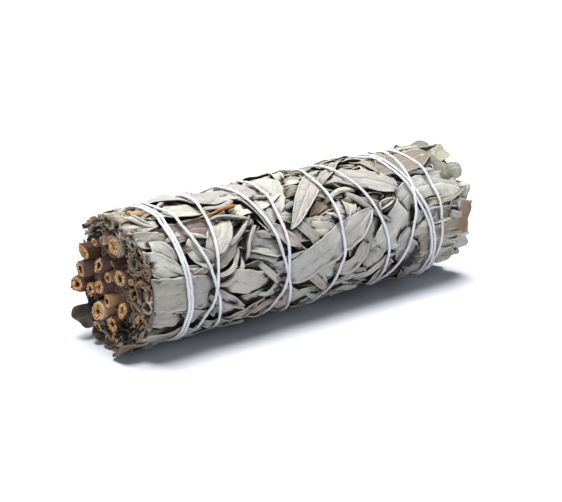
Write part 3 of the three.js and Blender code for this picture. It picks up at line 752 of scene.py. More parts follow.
class Shell:
    """Collects the closed sheets of one piece: corners, faces and what the material reads at each corner."""

    def __init__(self):
        self.points, self.faces, self.kinds = [], {4: [], 3: []}, {4: [], 3: []}
        self.tints, self.places, self.shapes = [], [], []
        self.count = 0

    def add(self, points, faces, tint, place, shape, kinds=None):
        """faces is a list of arrays of corners, four or three a face, and kinds the material of each."""
        for some, kind in zip(faces, kinds or (0,) * len(faces)):
            self.faces[some.shape[1]].append(some + self.count)
            self.kinds[some.shape[1]].append(np.broadcast_to(kind, len(some)))
        self.points.append(points)
        for kept, values in ((self.tints, tint), (self.places, place), (self.shapes, shape)):
            kept.append(np.broadcast_to(values, points.shape))
        self.count += len(points)

    def tube(self, rings, tint, place, shape, kinds=0):
        """A closed body through rings of points, each end closed by a fan. The colouring values are given
        for each ring or for each point, and kinds for each stretch from one ring to the next."""
        count, sides = rings.shape[:2]
        points = np.concatenate([rings.reshape(-1, 3), rings[:1].mean(1), rings[-1:].mean(1)])
        index = np.arange(count * sides).reshape(count, sides)
        after = np.roll(index, -1, 1)
        quads = np.stack([index[:-1], index[1:], after[1:], after[:-1]], -1).reshape(-1, 4)
        first, last = count * sides, count * sides + 1
        start = np.stack([np.full(sides, first), index[0], after[0]], -1)
        end = np.stack([np.full(sides, last), after[-1], index[-1]], -1)
        kinds = np.broadcast_to(kinds, count - 1)
        each = [np.repeat(kinds, sides), np.full(sides, kinds[0]), np.full(sides, kinds[-1])]
        a, b, c = points[quads[:, 0]], points[quads[:, 1]], points[quads[:, 2]]
        inside = (np.cross(b - a, c - a) * (a - points.mean(0))).sum()
        if inside < 0:
            quads, start, end = quads[:, ::-1], start[:, ::-1], end[:, ::-1]

        def for_all(values):
            values = np.asarray(values, float)
            if values.ndim == 2:
                values = values[:, None, :]
            values = np.broadcast_to(values, (count, sides, 3))
            return np.concatenate([values.reshape(-1, 3), values[:1].mean(1), values[-1:].mean(1)])

        self.add(points, [quads, start, end], for_all(tint), for_all(place), for_all(shape), each)

    def sheet(self, middle, thickness, tint, place, shape, underside=0.0):
        """A sheet given by its middle surface, a grid of points, as a closed body. Its inner face gets painted
        shade by the share underside, as it lies on other leaves."""
        normal = unit(np.cross(*np.gradient(middle, axis=(0, 1))))
        out = middle - stacked(middle[..., 0], 0, AXIS_HEIGHT)
        if (normal * out).sum() < 0:
            normal = -normal
        half = np.asarray(thickness)[..., None] / 2 if np.ndim(thickness) else thickness / 2
        top, bottom = middle + normal * half, middle - normal * half
        rows, columns = middle.shape[:2]
        index = np.arange(rows * columns).reshape(rows, columns)
        a, b, c, d = index[:-1, :-1], index[1:, :-1], index[1:, 1:], index[:-1, 1:]
        upper = np.stack([a, b, c, d], -1).reshape(-1, 4)
        lower = np.stack([a, d, c, b], -1).reshape(-1, 4) + rows * columns
        rim = np.concatenate([index[:, 0], index[-1, 1:], index[-2::-1, -1], index[0, -2:0:-1]])
        after = np.roll(rim, -1)
        sides = np.stack([after, rim, rim + rows * columns, after + rows * columns], -1)
        faces = np.concatenate([upper, lower, sides])
        points = np.concatenate([top.reshape(-1, 3), bottom.reshape(-1, 3)])
        first = points[faces[0]]
        turned = np.cross(first[1] - first[0], first[3] - first[0]) @ normal.reshape(-1, 3)[0]
        if turned < 0:
            faces = faces[:, ::-1]
        points[:, 2] = np.maximum(points[:, 2], LOWEST)

        def twice(values):
            values = np.broadcast_to(values, (rows, columns, 3)).reshape(-1, 3)
            return np.concatenate([values, values])

        shape = twice(shape)
        # Painted shade on the inner face, by the share underside.
        facing = (normal * unit(out)).sum(-1).ravel()
        inner = smooth_step(0.0, 0.5, np.concatenate([-facing, facing]))
        shape[:, 2] = np.maximum(shape[:, 2], underside * inner)
        self.add(points, [faces], twice(tint), twice(place), shape)


def make_piece(name, shell, materials, nodes):
    """Turns a shell into a piece that rides the body and stands for these nodes of the frame."""
    mesh = bpy.data.meshes.new(name)
    points = np.concatenate(shell.points) * MM
    faces = {sides: np.concatenate(some) for sides, some in shell.faces.items() if some}
    corners = np.concatenate([some.ravel() for some in faces.values()])
    sizes = np.concatenate([np.full(len(some), sides) for sides, some in faces.items()])
    kinds = np.concatenate([np.concatenate(some) for some in shell.kinds.values() if some])
    mesh.vertices.add(len(points))
    mesh.vertices.foreach_set("co", points.astype(np.float32).ravel())
    mesh.loops.add(len(corners))
    mesh.loops.foreach_set("vertex_index", corners.astype(np.int32))
    mesh.polygons.add(len(sizes))
    mesh.polygons.foreach_set("loop_start", (np.cumsum(sizes) - sizes).astype(np.int32))
    mesh.polygons.foreach_set("material_index", kinds.astype(np.int32))
    mesh.polygons.foreach_set("use_smooth", np.ones(len(sizes), bool))
    mesh.update(calc_edges=True)
    tint = mesh.attributes.new("tint", "FLOAT_COLOR", "POINT")
    colours = np.concatenate([np.concatenate(shell.tints), np.ones((len(points), 1))], 1)
    tint.data.foreach_set("color", colours.astype(np.float32).ravel())
    for label, values in (("place", shell.places), ("shape", shell.shapes)):
        attribute = mesh.attributes.new(label, "FLOAT_VECTOR", "POINT")
        attribute.data.foreach_set("vector", np.concatenate(values).astype(np.float32).ravel())
    mesh.validate()
    piece = bpy.data.objects.new(name, mesh)
    bpy.context.scene.collection.objects.link(piece)
    for material in materials:
        mesh.materials.append(material)
    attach(piece, "root")
    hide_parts(*nodes)


def add_leaf(shell, sheet, free=False, underside=0.9):
    """Adds a laid leaf to the shell: pressed together with the rest of the pile, or free of it, with painted
    shade where it is covered or lies deep, and on its inner face.
    """
    along, arc, radius = sheet["along"], sheet["arc"], sheet["radius"]
    if free:
        outer = arc / sheet["arc_radius"] * ARC_RADIUS
        over = pressed(along, outer, read(pile()[1], along, outer))
        # Painted shade where the pile lies over the free leaf, fading out towards the tips and the cut end.
        covered = np.clip((over - radius - 0.2) / 0.9, 0, 1)
        depth = covered * smooth_step(3, 14, TIP_END - along) * smooth_step(1, 6, along - CUT_END)
    else:
        high = radius if sheet["last"] else under_last(along, arc, radius)
        radius = pressed(along, arc, high)
        # Painted shade where the leaves close by lie higher, and where the leaf lies deep in the bundle.
        covered = np.clip((read(crevices(), along, arc) - high - 0.25) / 0.6, 0, 1)
        depth = np.maximum(np.clip((RADIUS - 0.9 - radius) / 3.6, 0, 1), covered)
    points = on_bundle(along, arc / sheet["arc_radius"], radius)
    w, share, half = sheet["across"], sheet["share"], sheet["half"]
    thickness = LEAF_THICKNESS * np.clip(half / 0.8, 0.6, 1)
    place = stacked(share * sheet["length"], w * half, sheet["number"])
    browned = smooth_step(-58.3, -59.4, along)[..., None] * 0.75
    tint = blend(sheet["tint"], TINTS["burnt"], browned)
    shell.sheet(points, thickness, tint, place, stacked(np.abs(w), share, depth), underside)


# ---- Materials ----


class Nodes:
    """Adds nodes to a tree from left to right and joins them up."""

    def __init__(self, tree):
        self.tree = tree
        self.tree.nodes.clear()

    def add(self, kind, inputs=(), **settings):
        """Adds a node: an input is given as a socket to join it to or as a value."""
        node = self.tree.nodes.new(kind)
        node.location = (240 * len(self.tree.nodes), 0)
        for name, value in settings.items():
            setattr(node, name, value)
        for name, value in dict(inputs).items():
            if isinstance(value, bpy.types.NodeSocket):
                self.tree.links.new(value, node.inputs[name])
            else:
                node.inputs[name].default_value = value
        return node

    def maths(self, operation, first, second=0.0, third=0.0):
        node = self.add("ShaderNodeMath", {0: first, 1: second, 2: third}, operation=operation)
        return node.outputs[0]

    def ramp(self, value, low, high):
        node = self.add(
            "ShaderNodeMapRange",
            {"Value": value, "From Min": low, "From Max": high},
            interpolation_type="SMOOTHSTEP",
        )
        return node.outputs["Result"]

    def mix(self, share, first, second, blend="MIX"):
        node = self.add("ShaderNodeMix", {0: share, 6: first, 7: second}, data_type="RGBA", blend_type=blend)
        return node.outputs[2]

    def laid_over(self, colour, mask, share, other):
        """The colour with another one over it, by a share of the mask."""
        return self.mix(self.maths("MULTIPLY", mask, share), colour, other)

    def noise(self, vector, scale, detail=3.0, roughness=0.6, distortion=0.0):
        values = {"Vector": vector, "Scale": scale, "Detail": detail, "Roughness": roughness}
        return self.add("ShaderNodeTexNoise", values | {"Distortion": distortion}).outputs["Fac"]

    def attribute(self, name, output="Vector"):
        return self.add("ShaderNodeAttribute", attribute_name=name, attribute_type="GEOMETRY").outputs[output]

    def parts(self, vector):
        return self.add("ShaderNodeSeparateXYZ", {0: vector}).outputs

    def stretched(self, vector, scale):
        return self.add("ShaderNodeVectorMath", {0: vector, 1: scale}, operation="MULTIPLY").outputs[0]


def group(name, inputs, outputs, build):
    """A shader node group, made once: build gets its Nodes and input sockets and returns its outputs. Inputs
    are given by their defaults, none for a vector and four values for a colour."""
    if name in bpy.data.node_groups:
        return bpy.data.node_groups[name]
    tree = bpy.data.node_groups.new(name, "ShaderNodeTree")
    nodes = Nodes(tree)
    for label, default in inputs.items():
        kind = "Vector" if default is None else "Color" if isinstance(default, tuple) else "Float"
        socket = tree.interface.new_socket(label, in_out="INPUT", socket_type=f"NodeSocket{kind}")
        if default is not None:
            socket.default_value = default
    for label in outputs:
        kind = "Color" if label == "Colour" else "Float"
        tree.interface.new_socket(label, in_out="OUTPUT", socket_type=f"NodeSocket{kind}")
    results = build(nodes, nodes.add("NodeGroupInput").outputs)
    end = nodes.add("NodeGroupOutput")
    for label, result in zip(outputs, results):
        tree.links.new(result, end.inputs[label])
    return tree


def place_group(nodes, tree, inputs):
    """Places a node group and gives its outputs."""
    return nodes.add("ShaderNodeGroup", inputs, node_tree=tree).outputs


def felted(nodes, place, colour, mottling):
    """The felt group on this colour."""
    return place_group(nodes, felt_group(), {"Place": place, "Colour": colour, "Mottling": mottling})


def felt_group():
    """Fine matted hair: a mottled colour and a height."""

    def build(nodes, given):
        def centred(value, share):
            return nodes.maths("MULTIPLY", nodes.maths("SUBTRACT", value, 0.5), share)

        fine = nodes.noise(given["Place"], 5.0, 4.0, 0.7)
        broad = nodes.noise(given["Place"], 0.35, 3.0, 0.55)
        grain = nodes.noise(nodes.stretched(given["Place"], (0.5, 2.4, 1)), 2.2, 3.0, 0.6)
        change = nodes.maths("ADD", centred(fine, 0.55), centred(broad, 0.75))
        change = nodes.maths("ADD", change, centred(grain, 0.45))
        value = nodes.maths("MULTIPLY_ADD", change, given["Mottling"], 1.0)
        colour = nodes.mix(1.0, given["Colour"], value, "MULTIPLY")
        height = nodes.maths("MULTIPLY_ADD", fine, 0.6, nodes.maths("MULTIPLY", grain, 0.8))
        return colour, height

    inputs = {"Place": None, "Colour": (0.5, 0.5, 0.5, 1), "Mottling": 0.4}
    return group("Felt", inputs, ("Colour", "Height"), build)


def veins_group():
    """The midrib and the net of veins of a leaf, from its own measures."""

    def build(nodes, given):
        parts = nodes.parts(given["Place"])
        aside = nodes.maths("ABSOLUTE", parts["Y"])
        rib = nodes.ramp(aside, 0.42, 0.08)
        slant = nodes.maths("MULTIPLY_ADD", aside, -0.9, parts["X"])
        wobble = nodes.noise(given["Place"], 0.6, 2.0)
        slant = nodes.maths("MULTIPLY_ADD", wobble, 1.6, slant)
        wave = nodes.maths("SINE", nodes.maths("MULTIPLY", slant, 3.4))
        branches = nodes.ramp(wave, 0.72, 1.0)
        net = nodes.add(
            "ShaderNodeTexVoronoi",
            {"Vector": given["Place"], "Scale": 1.15, "Randomness": 1.0},
            feature="DISTANCE_TO_EDGE",
        ).outputs["Distance"]
        net = nodes.maths("MULTIPLY", nodes.ramp(net, 0.14, 0.0), 0.45)
        veins = nodes.maths("MAXIMUM", nodes.maths("MULTIPLY", branches, 0.7), net)
        folded = nodes.noise(nodes.stretched(given["Place"], (0.3, 0.9, 1)), 0.34, 1.5, 0.5, 0.5)
        creases = nodes.ramp(nodes.maths("ABSOLUTE", nodes.maths("SUBTRACT", folded, 0.47)), 0.03, 0.0)
        return rib, veins, creases

    return group("Veins", {"Place": None}, ("Midrib", "Veins", "Creases"), build)


def rim_and_spots_group():
    """The rim of a leaf, broken up by noise, which takes the rim colour (a painted sheen on most leaves), and
    its dry spots.
    """

    def build(nodes, given):
        ragged = nodes.noise(given["Place"], 1.3, 4.0, 0.65)
        edge = nodes.maths("MULTIPLY_ADD", nodes.maths("SUBTRACT", ragged, 0.5), 0.16, given["Edge"])
        rim = nodes.ramp(edge, 0.86, 0.99)
        spots = nodes.noise(given["Place"], 0.55, 5.0, 0.7)
        blotches = nodes.ramp(spots, given["Blotch start"], 0.8)
        return rim, blotches

    return group("Rims and spots", {"Place": None, "Edge": 0.0, "Blotch start": 0.6}, ("Rim", "Blotches"), build)


def new_material(name):
    material = bpy.data.materials.new(name)
    material.use_nodes = True
    return material, Nodes(material.node_tree)


def finish_material(nodes, colour, height, strength, distance, **settings):
    """Joins a colour and a height to the surface of a material."""
    bump = nodes.add("ShaderNodeBump", {"Height": height, "Strength": strength, "Distance": distance * MM})
    shader = nodes.add("ShaderNodeBsdfPrincipled", {"Base Color": colour, "Normal": bump.outputs["Normal"]})
    for name, value in settings.items():
        shader.inputs[name.replace("_", " ")].default_value = value
    nodes.add("ShaderNodeOutputMaterial", {"Surface": shader.outputs["BSDF"]})


def colour4(values, factor=1.0):
    return (*[min(1.0, value * factor) for value in values], 1.0)


def leaf_material(name, settings, mottling, blotch_start, rim_colour=None, rim_share=0.34):
    """Felted leaf with veins, creases and dry spots. Its rim colour is a painted sheen unless another is
    given, and it gets painted shade in its creases, where it is covered or lies deep, and on its inner face.
    """
    material, nodes = new_material(name)
    place = nodes.attribute("place")
    tint = nodes.attribute("tint", "Color")
    shape = nodes.parts(nodes.attribute("shape"))
    rib, inner = colour4(settings.rib_colour), colour4(settings.deep_shade_colour)
    felt = felted(nodes, place, tint, mottling)
    veins = place_group(nodes, veins_group(), {"Place": place})
    rims_and_spots = {"Place": place, "Edge": shape["X"], "Blotch start": blotch_start}
    rims_and_spots = place_group(nodes, rim_and_spots_group(), rims_and_spots)
    colour = felt["Colour"]
    for mask, share, other in (
        (rims_and_spots["Blotches"], 0.45, colour4(settings.blotch_colour)),
        (veins["Midrib"], 0.22, rib),
        (veins["Veins"], 0.10, rib),
        # Painted shade in the creases.
        (veins["Creases"], 0.12, colour4(settings.deep_shade_colour, 3.0)),
        # On the rims: a painted sheen on most leaves, and the brown of the cut edges on the cut leaves.
        (rims_and_spots["Rim"], rim_share, colour4(rim_colour or settings.rim_colour)),
        # Painted shade where the leaf is covered by others, where it lies deep in the bundle, and on its inner
        # face.
        (nodes.ramp(shape["Z"], 0.08, 0.95), 0.95, inner),
    ):
        colour = nodes.laid_over(colour, mask, share, other)
    height = felt["Height"]
    for mask, depth in (("Veins", -0.28), ("Midrib", -0.6), ("Creases", -0.6)):
        height = nodes.maths("MULTIPLY_ADD", veins[mask], depth, height)
    sheen = {"Sheen_Weight": 0.12, "Sheen_Roughness": 0.5}
    finish_material(nodes, colour, height, 0.6, 0.4, Roughness=0.9, Specular_IOR_Level=0.2, **sheen)
    return material


def core_material(settings):
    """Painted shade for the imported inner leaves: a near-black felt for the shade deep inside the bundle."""
    material, nodes = new_material("packed_leaves")
    felt = felted(nodes, nodes.attribute("place"), colour4(settings.deep_shade_colour), 0.8)
    finish_material(nodes, felt["Colour"], felt["Height"], 0.8, 0.5, Roughness=0.95)
    return material


# ---- Settings ----


def colour_setting(name, description, default):
    return bpy.props.FloatVectorProperty(
        name=name, description=description, default=default, subtype="COLOR", size=3, min=0, max=1
    )


def length_setting(name, description, default):
    kind = {"unit": "LENGTH", "subtype": "DISTANCE", "precision": 5}
    return bpy.props.FloatProperty(name=name, description=description, default=default, min=0, **kind)


def light_setting(name, description, default):
    return bpy.props.FloatProperty(name=name, description=description, default=default, min=0)


class SageLeafSettings(bpy.types.PropertyGroup):
    blotch_colour: colour_setting("Blotches", "Colour of the dry spots", (0.25, 0.19, 0.12))
    rib_colour: colour_setting("Midrib", "Colour of the midrib and the veins", (0.50, 0.49, 0.42))
    # The rim colour is a painted sheen along the leaves' rims.
    rim_colour: colour_setting("Rims", "Colour of the painted sheen on the rims", (0.60, 0.59, 0.52))
    cut_rim_colour: colour_setting("Cut rims", "Colour of the rims at the cut end", (0.36, 0.27, 0.19))
    # Painted shade: a near black that stands in for the shade deep in the bundle, in the leaves' creases and
    # on the packed inner leaves.
    deep_shade_colour: colour_setting("Inside", "Colour of the leaves deep in the bundle", (0.013, 0.009, 0.007))


class SageStemSettings(bpy.types.PropertyGroup):
    bark_colour: colour_setting("Bark", "Colour of the ridges of the bark", (0.50, 0.36, 0.23))
    wood_colour: colour_setting("Cut wood", "Colour of the cut faces", (1.0, 0.62, 0.25))
    pale_wood_colour: colour_setting("Pale wood", "Colour of the clean spots of the wood", (0.95, 0.82, 0.58))
    stain_colour: colour_setting("Stained wood", "Colour of the dark spots of the wood", (0.40, 0.165, 0.05))
    # The pith colour is the brown of the pith with painted shade for its hollow; the wood's stains and pores
    # use it too.
    pith_and_shade_colour: colour_setting("Pith", "Colour of the hollow in the middle", (0.03, 0.016, 0.009))
    twig_colour: colour_setting("Twig", "Colour of the loose twig", (0.30, 0.13, 0.045))


class SageStringSettings(bpy.types.PropertyGroup):
    thickness: length_setting("Thickness", "Thickness of the string", STRING * MM)
    lay: length_setting("Lay", "Length of one turn of its strands", 0.0062)
    colour: colour_setting("Cotton", "Colour of the string", (0.66, 0.66, 0.70))


class SageStageSettings(bpy.types.PropertyGroup):
    floor_colour: colour_setting("Floor", "Colour of the floor", (0.525, 0.54, 0.60))
    floor_size: length_setting("Floor size", "Side of the square floor", 40.0)
    light: light_setting("Key light", "Strength of the light overhead", 6.1)
    front: light_setting("Front light", "Strength of the low light on the cut end", 0.9)
    fill: light_setting("Fill light", "Strength of the light from above, all round", 0.09)


# ---- Pieces ----


def build_core(settings):
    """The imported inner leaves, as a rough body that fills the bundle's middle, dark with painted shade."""
    rng = seeded(2)
    along = np.linspace(-54, 53, 72)
    angle = np.linspace(0, FULL_TURN, 72, endpoint=False)
    radius = (PACKED - 0.3) * np.ones((len(along), len(angle)))
    radius -= (8.0 * smooth_step(40, 53, along) ** 1.5)[:, None]
    radius += rng.uniform(-0.5, 0.3, radius.shape)
    rings = on_bundle(along[:, None], angle[None, :], radius)
    shell = Shell()
    shell.tube(rings, (0, 0, 0), rings, (0, 0, 1))
    make_piece("packed_leaves", shell, [core_material(settings)], ["sage_leaves"])


def build_leaves(settings):
    """The pressed leaves, one piece for each layer of the pile."""
    material = leaf_material("sage_leaf", settings, 0.5, 0.60)
    for layer, sheets in pile()[0].items():
        shell = Shell()
        for sheet in sheets:
            add_leaf(shell, sheet)
        make_piece(f"leaves_{layer}", shell, [material], ["sage_leaves"])


def free_leaf(rng, x0, x1, angle, radius, width, form, tint, spread, end_share=1.0, bending=2, creases=9):
    """A leaf at one of the ends: it lies at its own distance from the axis, not on the pile."""
    length = abs(x1 - x0)
    share = np.linspace(0, 1, max(8, int(length)))[:, None]
    w = (ACROSS_PLAIN if end_share == 1 else ACROSS_FINE)[None, :]
    half = np.maximum(width / 2 * leaf_outline(0.25 + (end_share - 0.25) * share), THINNEST)
    curl = FORMS[form]["curl"] * (0.8 + 0.5 * share) + rng.uniform(-0.2, 0.2)
    aside, rise = curled(half, curl, w)
    rise = rise + 0.2 * smooth_step(0.7, 1, np.abs(w))
    rise = rise + 0.12 * half * np.sin(share * 9 + rng.uniform(0, 6) + 2 * w) * np.abs(w)
    along = x0 + (x1 - x0) * share + 0.6 * np.sin(w * 2 + rng.uniform(0, 6)) * share**4
    if end_share < 1:
        rounded = math.copysign(1.5, x1 - x0) * np.abs(w) ** 3 * share**6
        along = along + rng.uniform(-0.2, 0.2, w.shape) * share**12 - rounded
        rise = rise + 0.45 * np.sin(w * rng.uniform(3, 6) + rng.uniform(0, 6)) * share**3
        rise = creased(rise, rng, creases, share, aside, length, (0.5, 1), 0.55, (0.4, 1.1))
    drift = spread * share**bending + rng.uniform(-0.4, 0.4) * np.sin(share * 5)
    arc = (angle + rng.uniform(-0.1, 0.1) * share) * radius + aside
    return leaf_sheet(rng, along, arc, radius + drift + rise, w, share, half, length, tint, radius)


# Blunt leaf ends that stand out at the tips: angle, distance from the axis, width, reach, lean and tint.
TIP_FLAPS = [
    (-6, 17.2, 8.0, 60.8, 0.9, "moss"),
    (20, 17.8, 8.0, 60.6, 1.7, "sage"),
    (42, 17.5, 7.5, 60.9, 0.9, "sage"),
    (57, 17.2, 8.0, 60.8, 0.6, "blue"),
    (70, 17.3, 7.0, 59.4, 0.2, "grey"),
    (108, 17.3, 7.5, 60.9, 0.3, "pale"),
    (120, 17.6, 7.0, 61.0, 0.4, "grey"),
    (138, 17.4, 8.0, 60.0, 0.1, "olive"),
    (160, 17.6, 8.0, 59.8, 0.1, "grey"),
    (184, 17.3, 8.0, 60.2, 0.3, "pale"),
    (205, 17.5, 9.0, 59.6, 0.2, "grey"),
    (230, 17.3, 8.0, 60.4, 0.4, "olive"),
    (252, 17.6, 9.0, 60.0, 0.6, "pale"),
    (275, 17.4, 8.5, 60.6, 0.5, "grey"),
    (298, 17.2, 9.0, 60.0, 0.5, "blue"),
    (325, 17.6, 8.0, 60.3, 0.7, "grey"),
]

# The shells of leaf tips: radius, how many leaves, and how far their ends close in.
TIP_SHELLS = [
    (16.8, 15, 2.5), (15.0, 14, 4.0), (13.0, 13, 5.0), (10.6, 11, 5.0), (8.0, 9, 4.5), (5.4, 7, 3.6),
    (2.6, 5, 1.6),
]
TIP_FORMS = {"cup": 4, "arch": 2, "roll": 2, "flat": 1}
TIP_TINTS = {"grey": 4, "olive": 3, "pale": 2, "pink": 1.5, "brown": 1.5, "dark": 1}


def build_tips(settings):
    """The leaf tips that close the far end, in shells round the axis."""
    rng = seeded(23)
    shell = Shell()
    for radius, count, closed in TIP_SHELLS:
        for place in range(count):
            angle = FULL_TURN * (place + rng.uniform(0, 0.8)) / count
            end = TIP_END - rng.uniform(0.3, 3.5)
            width = min(radius * 1.5, rng.uniform(5.5, 9.5))
            form, start, tint = chosen(rng, TIP_FORMS), end - rng.uniform(14, 20), chosen(rng, TIP_TINTS)
            spread = -closed * rng.uniform(0.3, 1.2)
            sheet = free_leaf(rng, start, end, angle, radius, width, form, tint, spread, bending=5)
            add_leaf(shell, sheet, True, 0.25)
    for angle, radius, width, reach, lean, tint in TIP_FLAPS:
        form = chosen(rng, {"cup": 1, "flat": 3, "arch": 2})
        sheet = free_leaf(rng, 45, reach, math.radians(angle), radius, width, form, tint, lean, 0.8)
        add_leaf(shell, sheet, True, 0.4)
    material = leaf_material("sage_tip", settings, 0.5, 0.52)
    make_piece("leaf_tips", shell, [material], ["sage_leaves"])


# ---- Cut end ----


def clear_of_stems(points, gap):
    """Moves points of the cut plane, given as aside and up from the axis, out of the stems."""
    points = points.copy()
    for aside, up, diameter, _ in STEMS:
        away = points - np.array([aside, up])
        far = np.linalg.norm(away, axis=1)
        need = diameter / 2 + gap
        near = far < need
        points[near] = np.array([aside, up]) + unit(away[near]) * need
    return points


CUT_REACH = 19.1  # radius of the cut end
FIELD_STEP = 0.25
FIELD = np.arange(-22, 22.01, FIELD_STEP)


@functools.cache
def cut_field():
    """The slopes of a height over the cut plane, low at the stems and the rim: the leaves run across them."""
    aside, up = np.meshgrid(FIELD, FIELD, indexing="ij")
    near = np.exp(-(CUT_REACH - np.hypot(aside, up)) / 1.6)
    for a, u, diameter, _ in STEMS:
        near += np.exp(-(np.hypot(aside - a, up - u) - diameter / 2) / 0.9)
    height = -np.log(near)
    rng = seeded(61)
    for _ in range(16):
        k, way = rng.uniform(0.5, 2.4), rng.uniform(0, FULL_TURN)
        height += 0.42 / k * np.sin(k * (aside * math.cos(way) + up * math.sin(way)) + rng.uniform(0, 6))
    return np.gradient(height, FIELD_STEP)


def cut_lines(rng, count):
    """Curves in the cut plane that follow its field, one for each cut leaf."""
    far = CUT_REACH * np.sqrt(rng.uniform(0.02, 0.985, count))
    around = rng.uniform(0, FULL_TURN, count)
    at = np.stack([far * np.sin(around), far * np.cos(around)], 1)
    lines = [at]
    for _ in range(26):
        place = np.clip(np.rint((at - FIELD[0]) / FIELD_STEP).astype(int), 0, len(FIELD) - 1)
        slope = np.stack([axis[place[:, 0], place[:, 1]] for axis in cut_field()], 1)
        along = np.stack([-slope[:, 1], slope[:, 0]], 1)
        at = at + 0.5 * unit(along)
        lines.append(at)
    return [line[: rng.integers(9, 27)] for line in np.stack(lines, 1)]


# Leaves that stand out past the cut at the rim: angle, distance from the axis, width, how far they reach
# along the bundle, how far their ends lean out, and tint.
FLAPS = [
    (-137, 18.3, 7.0, -62.4, 0.4, "grey"),
    (-16, 17.6, 6.0, -61.2, -0.4, "dark"),
    (5, 18.0, 7.0, -60.4, 0.1, "olive"),
    (22, 17.6, 5.0, -60.2, 0.2, "grey"),
    (166, 17.8, 8.0, -61.8, 0.5, "grey"),
    (152, 18.6, 8.5, -64.8, 0.5, "olive"),
    (186, 17.6, 7.0, -60.6, 0.3, "dark"),
    (206, 18.0, 6.0, -60.8, 0.2, "brown"),
    (140, 18.4, 7.0, -60.2, 0.0, "grey"),
    (-28, 16.6, 6.0, -60.6, 0.1, "brown"),
    (-5, 16.4, 6.5, -60.2, 0.0, "olive"),
]
# Pale sheaths round single stems: the stem, the angles between which they stand, gap and set-back.
SHEATHS = [(0, -150, 40, 0.35, 0.9), (0, -120, 60, 0.8, 1.4), (3, 20, 200, 0.3, 0.8), (9, 60, 230, 0.3, 0.9)]

# The rings of a hollow leaf stalk, from the bottom of its groove outwards and along it: the share of its
# radius, the depth and the darkness, a painted shade in the groove and deeper in.
STALK = [
    (0.12, 1.3, 1), (0.45, 0.9, 0.9), (0.6, 0.1, 0.3), (0.9, 0, 0), (1, 0.4, 0), (1, 2, 0), (0.95, 4.5, 0.4),
    (0.9, 8, 1),
]
CUT_LEAVES = 440
STALKS = 30
INNER_TINTS = {"bark": 6, "dark": 6, "brown": 1.0, "olive": 1.2}
OUTER_TINTS = {"olive": 4, "grey": 3, "dark": 2, "pale": 1}


def set_back(aside, up):
    """How far the leaves between the stems end behind the cut, at a place in the cut plane."""
    centre = smooth_step(-11, -4, aside) * smooth_step(14, 10, up) * smooth_step(-18, -14, up)
    return 0.4 + 3.8 * centre


def cut_sheet(shell, rng, line, start, depth, tint):
    """The last stretch of a cut leaf, whose edge shows in the cut plane as this line."""
    share = np.linspace(0, 1, 5) ** 1.7
    count = len(line)
    ragged = 0.35 * np.sin(np.arange(count) * rng.uniform(0.4, 1.4) + rng.uniform(0, 6))
    ragged = ragged + rng.uniform(-0.2, 0.2, count)
    along = start + ragged[:, None] * (1 - share) + depth * share
    lean = rng.normal(0, 0.3) * (1 - share) ** 2 + 0.15 * np.sin(share * 6 + rng.uniform(0, 6))
    inwards = np.maximum(np.linalg.norm(line, axis=1) - 14.5, 0)[:, None] * share[None, :] ** 0.7
    moved = line[:, None, :] + unit(line)[:, None, :] * (lean[None, :] - inwards)[..., None]
    middle = stacked(along, moved[..., 0], AXIS_HEIGHT + moved[..., 1])
    place = stacked(along, walked(line)[:, None] + 2, rng.uniform(0, 50))
    # shape: the cut rim at the edge, and painted shade that grows over the first 2 mm behind it.
    shape = stacked(1 - 0.5 * share[None, :], 0.5, np.clip((along - start + 0.1) / 1.9, 0, 1))
    shell.sheet(middle, rng.uniform(0.26, 0.5), tint, place, shape)


def stalk_places(rng, count):
    """Where the thin leaf stalks stand in the cut plane, clear of the stems and of each other, and how thick
    they are."""
    places = []
    taken = [(aside, up, diameter / 2) for aside, up, diameter, _ in STEMS]
    for _ in range(4000):
        if len(places) == count:
            break
        far, around = 17.3 * math.sqrt(rng.random()), rng.uniform(0, FULL_TURN)
        radius = rng.uniform(0.4, 0.9)
        at = np.array([far * math.sin(around), far * math.cos(around)])
        if all(math.hypot(at[0] - a, at[1] - b) > radius + r + 0.15 for a, b, r in taken):
            taken.append((at[0], at[1], radius))
            places.append((at, radius))
    return places


def add_stalk(shell, rng, middle, radius):
    """A cut leaf stalk, hollow like a gutter."""
    start = CUT_END + 0.5 + 0.55 * set_back(*middle) + rng.uniform(-0.4, 1.2)
    around = np.linspace(0, FULL_TURN, 12, endpoint=False)
    uneven = 1 + rng.uniform(-0.14, 0.14, 12)
    drift = rng.uniform(-0.5, 0.5, 2)
    rings, shapes = [], []
    for share, depth, dark in STALK:
        along = start + depth + rng.uniform(-0.12, 0.12, 12) * (depth < 2)
        out = radius * share * uneven
        bent = drift * depth / 8
        up = AXIS_HEIGHT + middle[1] + bent[1] + out * np.cos(around)
        rings.append(stacked(along, middle[0] + bent[0] + out * np.sin(around), up))
        # painted shade in the stalk's groove and deeper in
        shapes.append((0.6, 0.5, dark))
    colour = np.array(TINTS["stalk"]) * rng.uniform(0.5, 1.5)
    shell.tube(np.array(rings), colour, np.array(rings) + rng.uniform(0, 30), np.array(shapes))


